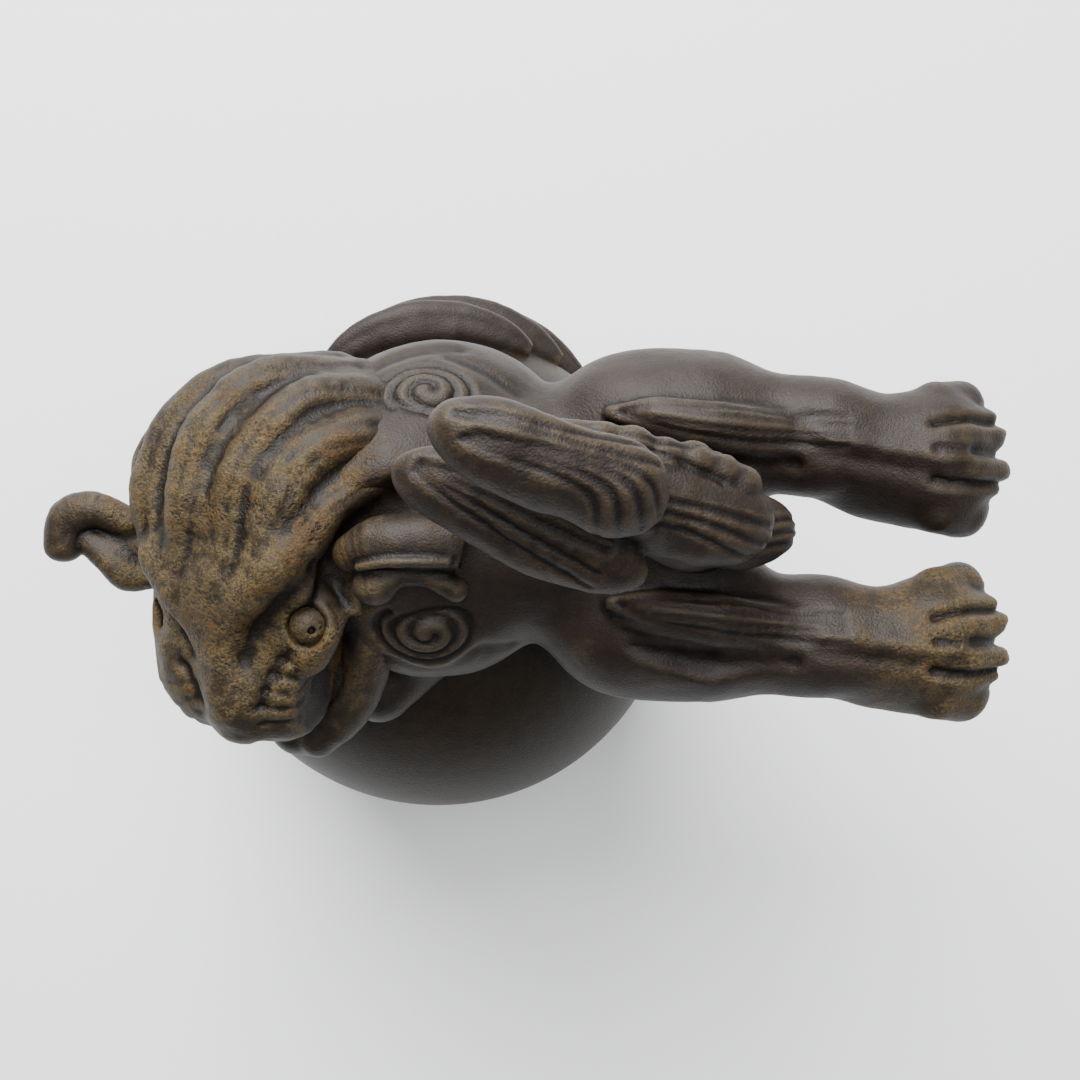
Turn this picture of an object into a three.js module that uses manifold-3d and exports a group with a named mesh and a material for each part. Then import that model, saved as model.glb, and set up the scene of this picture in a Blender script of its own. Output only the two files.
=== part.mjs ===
// A foo dog of unglazed wood-fired stoneware, tumbling over its ball.
//
// The potter forms it from separate lumps and leaves of clay: a hollow ball of two bowls, a torso, a head,
// limbs, paws, locks of hair and a plume of a tail. Each one is a solid of its own here, and a thin
// seam is left where the pieces are luted together.
//
// Millimetres. +Z is up, and the origin is the middle of the flat foot that the ball stands on.
// The body lies along X with its hind legs towards +X, and the face looks towards -Y.
import * as THREE from "three";
import { mergeVertices } from "three/addons/utils/BufferGeometryUtils.js";
import Module from "manifold-3d";

// ---------------------------------------------------------------- driving dimensions
const SEAM = 0.35; // what a luted seam takes off the later piece

const BALL_RADIUS = 52;
const BALL_HALF_HEIGHT = 46; // the ball has settled a little under its own weight
const BALL_CENTRE_Z = 40; // less than the half height, so the foot is flat
const BALL_WALL = 6;
const VENT_RADIUS = 1.9; // lets steam out of the hollow in the kiln
const VENT_AT = [14, -9];

const SPINE_Y = 8; // the body lies a little to one side of the ball's middle
const SHOULDER = [3, SPINE_Y + 2, 98];
const RUMP = [44, SPINE_Y + 1, 103];
const LEG_SPREAD = 15; // from the spine to the middle of a hind leg
const HOCK_X = 64;
const PAW_X = 86.5;
const LEG_RISE = 5; // how much higher the kicked-up hind paws are than the thighs
const HIND_PAW_SIZE = 13.3;
const FORE_PAW_SIZE = 9.6;

const HEAD_AT = [-24.5, 3, 106]; // midway between the ears
const HEAD_FORWARD = [-0.12, -0.985, 0.1];
const HEAD_LEFT = [0.89, -0.06, 0.45]; // the head leans over to its right
const EAR_SPREAD = 19; // from the middle of the head to the root of an ear
const EAR_LENGTH = 20;

// ---------------------------------------------------------------- solids
const wasm = await Module();
wasm.setup();

function toSolid(geometry) {
  const bare = geometry.clone();
  bare.deleteAttribute("normal");
  bare.deleteAttribute("uv");
  const merged = mergeVertices(bare, 1e-3);
  return new wasm.Manifold(
    new wasm.Mesh({
      numProp: 3,
      vertProperties: merged.attributes.position.array,
      triVerts: new Uint32Array(merged.index.array),
    }),
  );
}

function toGeometry(solid) {
  const mesh = solid.getMesh();
  const positions = new Float32Array(mesh.numVert * 3);
  for (let i = 0; i < mesh.numVert; i++)
    for (let k = 0; k < 3; k++) positions[3 * i + k] = mesh.vertProperties[mesh.numProp * i + k];
  const geometry = new THREE.BufferGeometry();
  geometry.setAttribute("position", new THREE.BufferAttribute(positions, 3));
  geometry.setIndex(new THREE.BufferAttribute(new Uint32Array(mesh.triVerts), 1));
  geometry.computeVertexNormals();
  return geometry;
}

const vector = (p) => new THREE.Vector3(...p);
const middle = (a, b, t = 0.5) => a.map((v, i) => v + (b[i] - v) * t);
const offset = (p, d) => p.map((v, i) => v + d[i]);

// Fewer facets on small lumps, which keeps the whole figure light.
const facets = (radius) => (radius > 15 ? [14, 9] : radius > 7 ? [10, 6] : [8, 4]);

// A matrix whose X lies along `along`, and whose Z is as near to `flat` as it can be.
function basis(at, along, flat) {
  const x = vector(along).normalize();
  const y = new THREE.Vector3().crossVectors(vector(flat), x).normalize();
  const z = new THREE.Vector3().crossVectors(x, y);
  return new THREE.Matrix4().makeBasis(x, y, z).setPosition(...at);
}

// A lump of clay rolled to an ellipsoid. `size` holds its half lengths along, across and through.
function lump(at, size, along = [1, 0, 0], flat = [0, 0, 1]) {
  return (grow) => {
    const [around, down] = facets(Math.max(...size));
    const geometry = new THREE.SphereGeometry(1, around, down);
    geometry.scale(size[0] + grow, size[1] + grow, size[2] + grow);
    return toSolid(geometry.applyMatrix4(basis(at, along, flat)));
  };
}

// A roll of clay that tapers from one round end to the other.
function roll(from, to, startRadius, endRadius) {
  return (grow) => {
    const length = vector(from).distanceTo(vector(to));
    const [r0, r1] = [startRadius + grow, endRadius + grow];
    const lean = Math.asin((r0 - r1) / length);
    const [around, down] = facets(Math.max(r0, r1));
    const steps = Math.ceil(down / 2);
    const outline = [];
    for (let i = 0; i <= steps; i++) {
      const a = -Math.PI / 2 + ((lean + Math.PI / 2) * i) / steps;
      outline.push(new THREE.Vector2(i ? r0 * Math.cos(a) : 0, r0 * Math.sin(a)));
    }
    for (let i = 0; i <= steps; i++) {
      const a = lean + ((Math.PI / 2 - lean) * i) / steps;
      outline.push(new THREE.Vector2(i < steps ? r1 * Math.cos(a) : 0, length + r1 * Math.sin(a)));
    }
    const geometry = new THREE.LatheGeometry(outline, around);
    const turn = new THREE.Quaternion().setFromUnitVectors(
      new THREE.Vector3(0, 1, 0),
      vector(to).sub(vector(from)).normalize(),
    );
    return toSolid(geometry.applyQuaternion(turn).translate(...from));
  };
}

// Rolls joined end to end, for limbs and locks: points and the radius at each.
const chain = (points, radii) => points.slice(1).map((p, i) => roll(points[i], p, radii[i], radii[i + 1]));

const joined = (shapes, grow = 0) =>
  shapes.map((shape) => shape(grow)).reduce((whole, next) => whole.add(next));

const largest = (solid) =>
  solid.decompose().reduce((best, next) => (next.volume() > best.volume() ? next : best));

// ---------------------------------------------------------------- materials
const stoneware = (color, roughness) => new THREE.MeshStandardMaterial({ color, roughness, metalness: 0 });
const bodyClay = stoneware(0x4a3a33, 0.5); // purple brown, where flame has passed
const ashClay = stoneware(0x5d4a2c, 0.6); // freckled with melted wood ash
const ballClay = stoneware(0x3d3026, 0.5);
const mouthClay = stoneware(0x33252a, 0.6);

// ---------------------------------------------------------------- the head's own axes
const headForward = vector(HEAD_FORWARD).normalize();
const headUp = new THREE.Vector3().crossVectors(headForward, vector(HEAD_LEFT)).normalize();
const headLeft = new THREE.Vector3().crossVectors(headUp, headForward);
const headFrame = new THREE.Matrix4().makeBasis(headForward, headLeft, headUp).setPosition(...HEAD_AT);

const onHead = (forward, left, up) => vector([forward, left, up]).applyMatrix4(headFrame).toArray();
const headways = (forward, left, up) => vector([forward, left, up]).transformDirection(headFrame).toArray();

// ---------------------------------------------------------------- the ball
function ballOutline(radius, halfHeight, floorZ) {
  const points = [];
  const lowest = Math.asin((floorZ - BALL_CENTRE_Z) / halfHeight);
  const steps = 8;
  for (let i = 0; i <= steps; i++) {
    const a = lowest + ((Math.PI / 2 - lowest) * i) / steps;
    const across = i < steps ? radius * Math.cos(a) : 0;
    points.push(new THREE.Vector2(across, BALL_CENTRE_Z + halfHeight * Math.sin(a)));
  }
  return [new THREE.Vector2(0, floorZ), ...points];
}

function turned(outline, segments = 28) {
  return toSolid(new THREE.LatheGeometry(outline, segments).rotateX(Math.PI / 2));
}

const wholeBall = (grow) => turned(ballOutline(BALL_RADIUS + grow, BALL_HALF_HEIGHT + grow, 0));

function ballBowl(upper) {
  const hollow = turned(
    ballOutline(BALL_RADIUS - BALL_WALL, BALL_HALF_HEIGHT - BALL_WALL, BALL_WALL),
  );
  const vent = new THREE.CylinderGeometry(VENT_RADIUS, VENT_RADIUS, 4 * BALL_WALL, 12).rotateX(Math.PI / 2);
  const span = 4 * BALL_RADIUS;
  const side = upper ? -1 : 1;
  const otherHalf = new THREE.BoxGeometry(span, span, span);
  otherHalf.translate(0, 0, BALL_CENTRE_Z + side * (span / 2 - (upper ? SEAM : 0)));
  return wholeBall(0)
    .subtract(hollow)
    .subtract(toSolid(vent.translate(...VENT_AT, 0)))
    .subtract(toSolid(otherHalf));
}

// ---------------------------------------------------------------- limbs
// A paw: a pad, four toes in a fan, and the knuckle of each toe. `ahead` is the way the toes point.
function paw(at, ahead, across, up, size) {
  const reach = (a, b, c) =>
    at.map((v, i) => v + size * (a * ahead[i] + b * across[i] + c * up[i]));
  const toes = [-0.66, -0.24, 0.2, 0.6].map((side, i) => {
    const forward = 0.56 - 0.4 * side * side;
    return lump(reach(forward, side, -0.08), [0.42, 0.25, 0.4].map((v) => v * size), ahead, up);
  });
  return [lump(at, [0.82, 0.84, 0.7].map((v) => v * size), ahead, up), ...toes];
}

// A leaf of clay: an ellipsoid pressed flat, from its root to its tip.
function leaf(root, tip, halfWidth, halfThickness, face) {
  const reach = vector(tip).sub(vector(root));
  return lump(middle(root, tip), [reach.length() / 2, halfWidth, halfThickness], reach.toArray(), face);
}

function hindLeg(side) {
  const y = SPINE_Y + side * LEG_SPREAD;
  const thigh = [RUMP[0] - 1, y + side * 2, RUMP[2] - 1];
  const hock = [HOCK_X, y - side * 0.5, RUMP[2] + 0.4 * LEG_RISE];
  const ankle = [PAW_X - 8, y - 2, RUMP[2] + LEG_RISE - 1];
  const shank = chain([middle(thigh, hock, 0.35), hock, ankle], [11.5, 9, 9.4]);
  return [lump(thigh, [18.5, 12.8, 14.5]), ...shank];
}

function hindPaw(side) {
  const rise = 0.15;
  const at = [PAW_X, SPINE_Y - 3 + side * LEG_SPREAD, RUMP[2] + LEG_RISE];
  const ahead = [Math.cos(rise), 0, Math.sin(rise)];
  const above = [-Math.sin(rise), 0, Math.cos(rise)];
  return paw(at, ahead, [0, 1, 0], above, HIND_PAW_SIZE);
}

function hockTuft(side) {
  const y = SPINE_Y + side * LEG_SPREAD;
  return [leaf([HOCK_X + 3, y - side * 2, 110], [RUMP[0] - 12, y + side * 2, 116], 4, 7, [0, 1, 0.2 * side])];
}

const shoulder = (side) => [lump([4, SPINE_Y + 2 + side * 15, 95], [18, 13, 17])];

const forePawAt = (side) => (side > 0 ? [-30, 26, 72] : [-14, -19, 79]);

function foreLeg(side) {
  const elbow = [2, SPINE_Y + side * 19, 85];
  const wrist = offset(forePawAt(side), [8, 0, 5]);
  return chain([[4, SPINE_Y + side * 15, 90], elbow, wrist], [10, 9, 7]);
}

function forePaw(side) {
  const slope = side > 0 ? 0.7 : 0.4;
  const fan = side > 0 ? [0.25, 0.97, -0.1] : [0.1, 0.99, 0.1];
  const ahead = [-Math.cos(slope), 0.1 * side, -Math.sin(slope)];
  const above = [-Math.sin(slope), 0.1 * side, Math.cos(slope)];
  return paw(forePawAt(side), ahead, fan, above, FORE_PAW_SIZE);
}

// ---------------------------------------------------------------- head
const skull = [
  lump(onHead(-5, 0, -3), [21, 21.5, 14], headways(1, 0, 0), headways(0, 0, 1)),
  lump(onHead(13, 0, -5), [16, 14.5, 9], headways(1, 0, 0), headways(0, 0, 1)),
];

const brow = (side) =>
  chain([onHead(13, side * 5, 6), onHead(6, side * 11, 8), onHead(-4, side * 14.5, 7)], [3, 4, 4]);

const nose = [lump(onHead(27, 0, -1.5), [4.2, 6.6, 3.6], headways(1, 0, 0), headways(0, 0, 1))];

const eye = (side) => [lump(onHead(9, side * 15, 1), [4.2, 4.2, 4.2])];

const whiskerPad = (side) => [
  lump(onHead(19, side * 10, -8), [9.5, 6.5, 5.5], headways(1, -0.3 * side, 0), headways(0, 0, 1)),
];

const jawSide = (side) =>
  chain([onHead(3, side * 14, -13), onHead(18, side * 12, -20), onHead(30, side * 4, -20)], [5.4, 4.8, 4.6]);

const lowerJaw = [
  ...jawSide(1),
  ...jawSide(-1),
  lump(onHead(16, 0, -22), [14, 10, 4.5], headways(1, 0, 0), headways(0, 0, 1)),
];

const tongue = [lump(onHead(16, 0, -15.6), [12, 6.5, 2.8], headways(1, 0, 0), headways(0, 0, 1))];

// The left ear droops and the right one lifts, as the head leans.
function ear(side) {
  const root = onHead(-2, side * EAR_SPREAD, 0);
  const tip = onHead(-3, side * (EAR_SPREAD + EAR_LENGTH), -5 * side);
  return [leaf(root, tip, 5.8, 3.4, headways(0.3, 0, 1))];
}

// ---------------------------------------------------------------- mane
const mane = [lump([-11, 20, 97], [28, 16.5, 15.5]), lump([-27, 15, 96], [17, 17, 13])];

// Six locks are swept back from the brows, round the crown and on to the neck, the outermost one first.
const MANE_LOCKS = [
  [[-17, 36, 94], [-34, 32, 96], [-42, 22, 97], [-43.5, 12, 97], [-42, 1, 97]],
  [[-11, 36, 99], [-27, 32, 102], [-35, 22, 103], [-36.5, 12, 103], [-35, 1, 102]],
  [[-6, 35, 104], [-22, 31, 107], [-29, 22, 109], [-31, 13, 110], [-29, 1, 108]],
  [[0, 33, 108], [-15, 30, 112], [-22, 22, 114], [-25, 14, 115], [-23, 2, 113]],
  [[2, 28, 111], [-10, 26, 116], [-17, 20, 118], [-19, 13, 119], [-17, 2, 117]],
  [[2, 22, 114], [-6, 21, 117], [-12, 16, 119], [-14, 10, 120], [-13, 4, 118]],
];
const LOCK_RADII = [3.2, 4, 4.1, 4, 3.4];

// ---------------------------------------------------------------- tail
const tailStem = chain([[46, SPINE_Y, 110], [42, SPINE_Y + 2, 124], [28, SPINE_Y + 6, 139]], [6.4, 6, 4]);

// The plume's locks, from the top one down: root, tip, half width, half thickness, face.
const TAIL_LOCKS = {
  tail_lock_top: [[38, 12.5, 142], [9, 21, 151], 6, 4.2, [0.2, -0.3, 1]],
  tail_lock_left: [[36, 1.5, 130], [2, 15.5, 138], 6.4, 4, [0.1, -0.6, 1]],
  tail_lock_right: [[50, 13, 128], [20, 21, 140], 5.4, 4, [0.1, 0.6, 1]],
  tail_lock_middle: [[28, 11, 135], [54, 7.5, 128], 7.4, 4.4, [0.3, -0.1, 1]],
  tail_lock_low: [[38, 9, 124], [61.5, 7, 119], 6.8, 4.6, [0.3, -0.1, 1]],
};

// ---------------------------------------------------------------- the ribbon on the ball
// It leaves from under the mane and lies in three folds over the far side of the ball.
const RIBBON_TOP_Z = 60;
const RIBBON_STEP_Z = 9;

function onBall(turn, height) {
  const shrink = Math.sqrt(1 - ((height - BALL_CENTRE_Z) / BALL_HALF_HEIGHT) ** 2);
  const out = (BALL_RADIUS - 1) * shrink;
  return [out * Math.cos(turn), out * Math.sin(turn), height];
}

function ribbonFold(index) {
  const start = 2 - 0.12 * index;
  const height = RIBBON_TOP_Z - RIBBON_STEP_Z * index;
  return chain([0, 1, 2].map((i) => onBall(start - 0.4 * i, height - 3 * i)), [3.4, 4.4, 3]);
}

// ---------------------------------------------------------------- the pieces, in the order they are made
// A later piece is trimmed back from every earlier one.
const sides = { left: -1, right: 1 };
const pieces = [];
const piece = (name, shapes, material) => pieces.push({ name, shapes, material });

const torso = [
  lump(SHOULDER, [25, 26, 18]),
  lump(middle(SHOULDER, RUMP), [20, 21, 16]),
  lump(RUMP, [15, 18, 15]),
];

piece("torso", torso, bodyClay);
piece("head", skull, ashClay);
for (const [name, side] of Object.entries(sides)) {
  piece(`${name}_eye`, eye(-side), ashClay);
  piece(`${name}_brow`, brow(-side), ashClay);
  piece(`${name}_whisker_pad`, whiskerPad(-side), ashClay);
}
piece("nose", nose, ashClay);
piece("lower_jaw", lowerJaw, ashClay);
piece("tongue", tongue, mouthClay);
for (const [name, side] of Object.entries(sides)) piece(`${name}_ear`, ear(-side), ashClay);
piece("neck_mane", mane, ashClay);
MANE_LOCKS.forEach((points, i) => piece(`mane_lock_${i + 1}`, chain(points, LOCK_RADII), ashClay));
for (const [name, side] of Object.entries(sides)) {
  piece(`${name}_shoulder`, shoulder(side), bodyClay);
  piece(`${name}_foreleg`, foreLeg(side), bodyClay);
  piece(`${name}_forepaw`, forePaw(side), bodyClay);
  piece(`${name}_hind_leg`, hindLeg(side), bodyClay);
  piece(`${name}_hind_paw`, hindPaw(side), side < 0 ? ashClay : bodyClay);
  piece(`${name}_hock_tuft`, hockTuft(side), bodyClay);
}
piece("tail_stem", tailStem, bodyClay);
for (const [name, [root, tip, width, thickness, face]] of Object.entries(TAIL_LOCKS)) {
  piece(name, [leaf(root, tip, width, thickness, face)], bodyClay);
}
for (const i of [0, 1, 2]) piece(`ribbon_fold_${i + 1}`, ribbonFold(i), bodyClay);

// ---------------------------------------------------------------- the figure
function addMesh(group, name, solid, material) {
  const box = solid.boundingBox();
  const at = box.min.map((low, i) => (low + box.max[i]) / 2);
  const mesh = new THREE.Mesh(toGeometry(solid.translate(at.map((v) => -v))), material);
  mesh.name = name;
  mesh.position.set(...at);
  group.add(mesh);
}

const fooDog = new THREE.Group();
addMesh(fooDog, "ball_lower_bowl", ballBowl(false), ballClay);
addMesh(fooDog, "ball_upper_bowl", ballBowl(true), ballClay);

let taken = wholeBall(SEAM);
for (const { name, shapes, material } of pieces) {
  addMesh(fooDog, name, largest(joined(shapes).subtract(taken)), material);
  taken = taken.add(joined(shapes, SEAM));
}

export default fooDog;
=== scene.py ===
# %% [markdown]
# # A foo dog of wood-fired stoneware, tumbling over its ball
#
# The real figure is modelled in clay: a hollow ball, a body, and a great many rolls and leaves of clay for
# the mane, the ears and the tail. It is then fired for days in a wood kiln, where ash settles on whatever
# faces up and melts into yellow freckles.
#
# The model follows the same order. The body and the head are "clay" on a grid of cells, where lumps blend
# into one another as wet clay does. The ribbon over the ball follows a path, so Geometry Nodes draw it out.
# The finishes are two shader groups, one for the clay and one for the ash.

# %% Load the frame
import math

import bmesh
import bpy
import numpy as np
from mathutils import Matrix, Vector, noise


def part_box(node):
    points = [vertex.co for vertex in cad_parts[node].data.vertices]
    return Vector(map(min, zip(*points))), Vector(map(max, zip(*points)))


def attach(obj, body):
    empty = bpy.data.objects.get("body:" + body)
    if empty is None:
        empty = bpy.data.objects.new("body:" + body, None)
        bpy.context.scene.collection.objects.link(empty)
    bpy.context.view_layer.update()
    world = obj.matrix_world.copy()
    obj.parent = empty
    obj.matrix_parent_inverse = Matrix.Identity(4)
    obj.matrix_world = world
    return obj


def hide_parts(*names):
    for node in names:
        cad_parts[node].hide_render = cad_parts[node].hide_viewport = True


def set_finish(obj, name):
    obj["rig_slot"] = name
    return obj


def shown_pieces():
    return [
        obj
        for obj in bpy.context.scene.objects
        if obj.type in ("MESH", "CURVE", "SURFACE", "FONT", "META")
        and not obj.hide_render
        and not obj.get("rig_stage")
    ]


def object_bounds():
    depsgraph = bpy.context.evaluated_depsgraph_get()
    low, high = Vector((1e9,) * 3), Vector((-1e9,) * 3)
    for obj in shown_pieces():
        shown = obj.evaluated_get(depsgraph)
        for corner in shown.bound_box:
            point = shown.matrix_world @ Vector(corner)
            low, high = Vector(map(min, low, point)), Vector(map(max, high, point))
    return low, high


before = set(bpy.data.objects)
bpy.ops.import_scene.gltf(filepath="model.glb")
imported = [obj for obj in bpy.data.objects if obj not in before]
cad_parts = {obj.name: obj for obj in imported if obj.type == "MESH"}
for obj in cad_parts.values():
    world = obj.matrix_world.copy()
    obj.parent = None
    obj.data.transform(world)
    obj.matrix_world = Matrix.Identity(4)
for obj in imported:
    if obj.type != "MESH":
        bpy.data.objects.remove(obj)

MM = 0.001
CAD_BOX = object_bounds()
print("the frame measures", [round((b - a) / MM, 1) for a, b in zip(*CAD_BOX)], "mm")

# %% [markdown]
# ## Landmarks
#
# Every place below is worked out from the frame's own pieces, in millimetres. A sculptor does the same:
# the ball and the spine come first, and everything else is measured off from them.

# %% Landmarks on the body


def middle_of(node):
    low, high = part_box(node)
    return (np.array(low) + np.array(high)) / 2 / MM


def corners_of(node):
    low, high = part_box(node)
    return np.array(low) / MM, np.array(high) / MM


def toward(point, other, amount):
    return np.asarray(point, float) * (1 - amount) + np.asarray(other, float) * amount


TORSO = middle_of("torso")
CHEST = TORSO + (-15.5, 0, -1.5)
LOIN = TORSO + (5, -0.5, 0.5)
RUMP = TORSO + (25, -1, 3)
BALL_MIDDLE = middle_of("ball_lower_bowl") * (1, 1, 0) + (0, 0, corners_of("ball_lower_bowl")[1][2])
BALL_RADIUS = (corners_of("ball_lower_bowl")[1] - corners_of("ball_lower_bowl")[0])[0] / 2
BALL_TOP = corners_of("ball_upper_bowl")[1][2]
SIDES = {"left": -1, "right": 1}
print("chest", CHEST.round(1), "rump", RUMP.round(1), "ball radius", round(BALL_RADIUS, 1))

# %% [markdown]
# The head is turned to its left and leans over, so it has axes of its own. They come from three pieces
# that the frame has placed already: the two eyes and the nose.

# %% The head's own axes


def unit(v):
    return np.asarray(v, float) / np.linalg.norm(v)


EYES = (middle_of("left_eye") + middle_of("right_eye")) / 2
HEAD_LEFT = unit(middle_of("left_eye") - middle_of("right_eye"))
to_nose = middle_of("nose") - EYES
HEAD_FORWARD = unit(to_nose - HEAD_LEFT * (to_nose @ HEAD_LEFT))
HEAD_UP = np.cross(HEAD_FORWARD, HEAD_LEFT)


def on_head(forward, left, up):
    return EYES + forward * HEAD_FORWARD + left * HEAD_LEFT + up * HEAD_UP


def headways(forward, left, up):
    return forward * HEAD_FORWARD + left * HEAD_LEFT + up * HEAD_UP


print("head: forward", HEAD_FORWARD.round(2), "left", HEAD_LEFT.round(2), "up", HEAD_UP.round(2))

# %% [markdown]
# ## Clay on a grid
#
# Blender's sculpt brushes cannot be written down in a script, so the soft forms are kept as a field: for
# every point of a fine grid, how far that point is outside the clay. Adding a lump is a minimum of two
# fields, and a smooth minimum fills the crease between them, as a thumb does with slip.

# %% Lumps and rolls as distances


def lump(at, size, along=(1, 0, 0), flat=(0, 0, 1)):
    """An ellipsoid. size holds its half lengths along, across and through."""
    x = unit(along)
    y = unit(np.cross(flat, x))
    axes = np.stack([x, y, np.cross(x, y)])
    at, size = np.asarray(at, float), np.asarray(size, float)

    def distance(p):
        q = (p - at) @ axes.T
        near = np.linalg.norm(q / size, axis=-1)
        slope = np.maximum(np.linalg.norm(q / size**2, axis=-1), 1e-6)
        return near * (near - 1) / slope

    reach = max(size)
    return distance, at - reach, at + reach


def roll(start, end, start_radius, end_radius):
    """A roll of clay with round ends, which tapers from one radius to the other."""
    start, end = np.asarray(start, float), np.asarray(end, float)
    run = end - start

    def distance(p):
        t = np.clip((p - start) @ run / (run @ run), 0, 1)
        gap = np.linalg.norm(p - start - t[..., None] * run, axis=-1)
        return gap - (start_radius + (end_radius - start_radius) * t)

    reach = max(start_radius, end_radius)
    return distance, np.minimum(start, end) - reach, np.maximum(start, end) + reach


def smooth_path(points, count=60):
    """A curve that passes through every point, as evenly as a hand would draw it."""
    points = np.asarray(points, float)
    padded = np.concatenate([[2 * points[0] - points[1]], points, [2 * points[-1] - points[-2]]])
    spans = len(points) - 1
    path = []
    for t in np.linspace(0, spans, count):
        i = min(int(t), spans - 1)
        u = t - i
        a, b, c, d = padded[i : i + 4]
        bend, twist = 2 * a - 5 * b + 4 * c - d, 3 * b - a - 3 * c + d
        path.append(0.5 * (2 * b + (c - a) * u + bend * u**2 + twist * u**3))
    return np.array(path)


def rope(points, radii):
    """A roll that follows a curved path. radii holds one radius for each point."""
    path = smooth_path(points, 4 * len(points) - 3)
    radii = np.interp(np.linspace(0, len(points) - 1, len(path)), range(len(points)), radii)

    def distance(p):
        gap = np.full(p.shape[:-1], 1e9)
        for a, b, r, s in zip(path, path[1:], radii, radii[1:]):
            run = b - a
            t = np.clip((p - a) @ run / (run @ run), 0, 1)
            gap = np.minimum(gap, np.linalg.norm(p - a - t[..., None] * run, axis=-1) - (r + (s - r) * t))
        return gap

    reach = max(radii)
    return distance, path.min(0) - reach, path.max(0) + reach


# %% The block of clay


class Clay:
    """A grid that holds the distance to the clay, and which named part each point belongs to."""

    def __init__(self, low, high, cell):
        self.low, self.cell = np.asarray(low, float), cell
        self.count = np.ceil((np.asarray(high, float) - self.low) / cell).astype(int) + 1
        self.field = np.full(self.count, 50.0, np.float32)
        self.nearest = np.full(self.count, 50.0, np.float32)
        self.owner = np.zeros(self.count, np.int8)
        self.parts = []

    def window(self, low, high, margin):
        first = np.clip(np.floor((low - margin - self.low) / self.cell).astype(int), 0, self.count - 2)
        last = np.clip(np.ceil((high + margin - self.low) / self.cell).astype(int) + 1, 2, self.count)
        spans = [self.low[i] + self.cell * np.arange(first[i], last[i]) for i in range(3)]
        points = np.stack(np.meshgrid(*spans, indexing="ij"), -1)
        return tuple(slice(a, b) for a, b in zip(first, last)), points

    def add(self, part, shape, blend=2.0):
        if part not in self.parts:
            self.parts.append(part)
        distance, low, high = shape
        where, points = self.window(low, high, 2 * blend + 2 * self.cell)
        new, old = distance(points), self.field[where]
        mix = np.clip(0.5 + 0.5 * (old - new) / blend, 0, 1)
        self.field[where] = old * (1 - mix) + new * mix - blend * mix * (1 - mix)
        closer = new < self.nearest[where]
        self.owner[where][closer] = self.parts.index(part)
        self.nearest[where] = np.minimum(self.nearest[where], new)

    def carve(self, shape, blend=1.0):
        distance, low, high = shape
        where, points = self.window(low, high, 2 * blend + 2 * self.cell)
        cut, old = -distance(points), self.field[where]
        mix = np.clip(0.5 - 0.5 * (old - cut) / blend, 0, 1)
        self.field[where] = old * (1 - mix) + cut * mix + blend * mix * (1 - mix)


# %% [markdown]
# A skin is drawn over the field by a surface net: one corner in every cell that the surface passes
# through, and one square across every grid edge that it crosses. It gives even squares, which take fine
# strokes better than the slivers of marching cubes.

# %% The skin over the clay


def cell_corner(i, j, k):
    return slice(i, i - 1 or None), slice(j, j - 1 or None), slice(k, k - 1 or None)


def skin(clay):
    """Returns corners in millimetres, four-cornered faces, and the part that each face belongs to."""
    for axis in range(3):
        for layer in (0, -1):
            # clay never reaches the wall of its block, so the skin is always closed
            edge = clay.field[tuple(layer if i == axis else slice(None) for i in range(3))]
            np.maximum(edge, clay.cell, out=edge)
    inside = clay.field < 0
    full = sum(inside[cell_corner(i, j, k)].astype(np.int8) for i in (0, 1) for j in (0, 1) for k in (0, 1))
    cells = np.argwhere((full > 0) & (full < 8))
    number = np.full(full.shape, -1)
    number[tuple(cells.T)] = np.arange(len(cells))
    total = np.zeros((len(cells), 3))
    crossings = np.zeros(len(cells))
    for axis in range(3):
        step = np.eye(3, dtype=int)[axis]
        for a in (0, 1):
            for b in (0, 1):
                start = np.insert([a, b], axis, 0)
                near = clay.field[tuple((cells + start).T)]
                far = clay.field[tuple((cells + start + step).T)]
                crosses = (near < 0) != (far < 0)
                t = near[crosses] / (near[crosses] - far[crosses])
                total[crosses] += start + t[:, None] * step
                crossings[crosses] += 1
    corners = clay.low + clay.cell * (cells + total / crossings[:, None])
    faces = []
    for axis in range(3):
        step = np.eye(3, dtype=int)[axis]
        side, over = np.roll(step, 1), np.roll(step, 2)
        shorter = tuple(np.array(inside.shape) - step)
        this = inside[tuple(slice(0, n) for n in shorter)]
        following = inside[tuple(slice(s, s + n) for s, n in zip(step, shorter))]
        edges = np.argwhere(this != following)
        ring = [number[tuple((edges - a * side - b * over).T)] for a, b in ((1, 1), (0, 1), (0, 0), (1, 0))]
        squares = np.stack(ring, -1)
        leaves = this[tuple(edges.T)]
        faces.append(np.where(leaves[:, None], squares, squares[:, ::-1]))
    faces = np.concatenate(faces)
    centre = corners[faces].mean(1)
    spot = np.clip(np.rint((centre - clay.low) / clay.cell).astype(int), 0, np.array(clay.field.shape) - 1)
    return corners, faces, clay.owner[tuple(spot.T)]


# %% [markdown]
# ## Strokes of the tool
#
# Grooves between toes, folds of the brow and flutes of hair are pressed in with the edge of a wooden tool.
# A stroke is a path and a width. Corners near the path sink along their own normals.

# %% Strokes


def corner_normals(corners, faces):
    a, b, c, d = (corners[faces[:, i]] for i in range(4))
    flat = np.cross(c - a, d - b)
    normals = np.zeros_like(corners)
    for i in range(4):
        np.add.at(normals, faces[:, i], flat)
    return normals / np.maximum(np.linalg.norm(normals, axis=1), 1e-12)[:, None]


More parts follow.
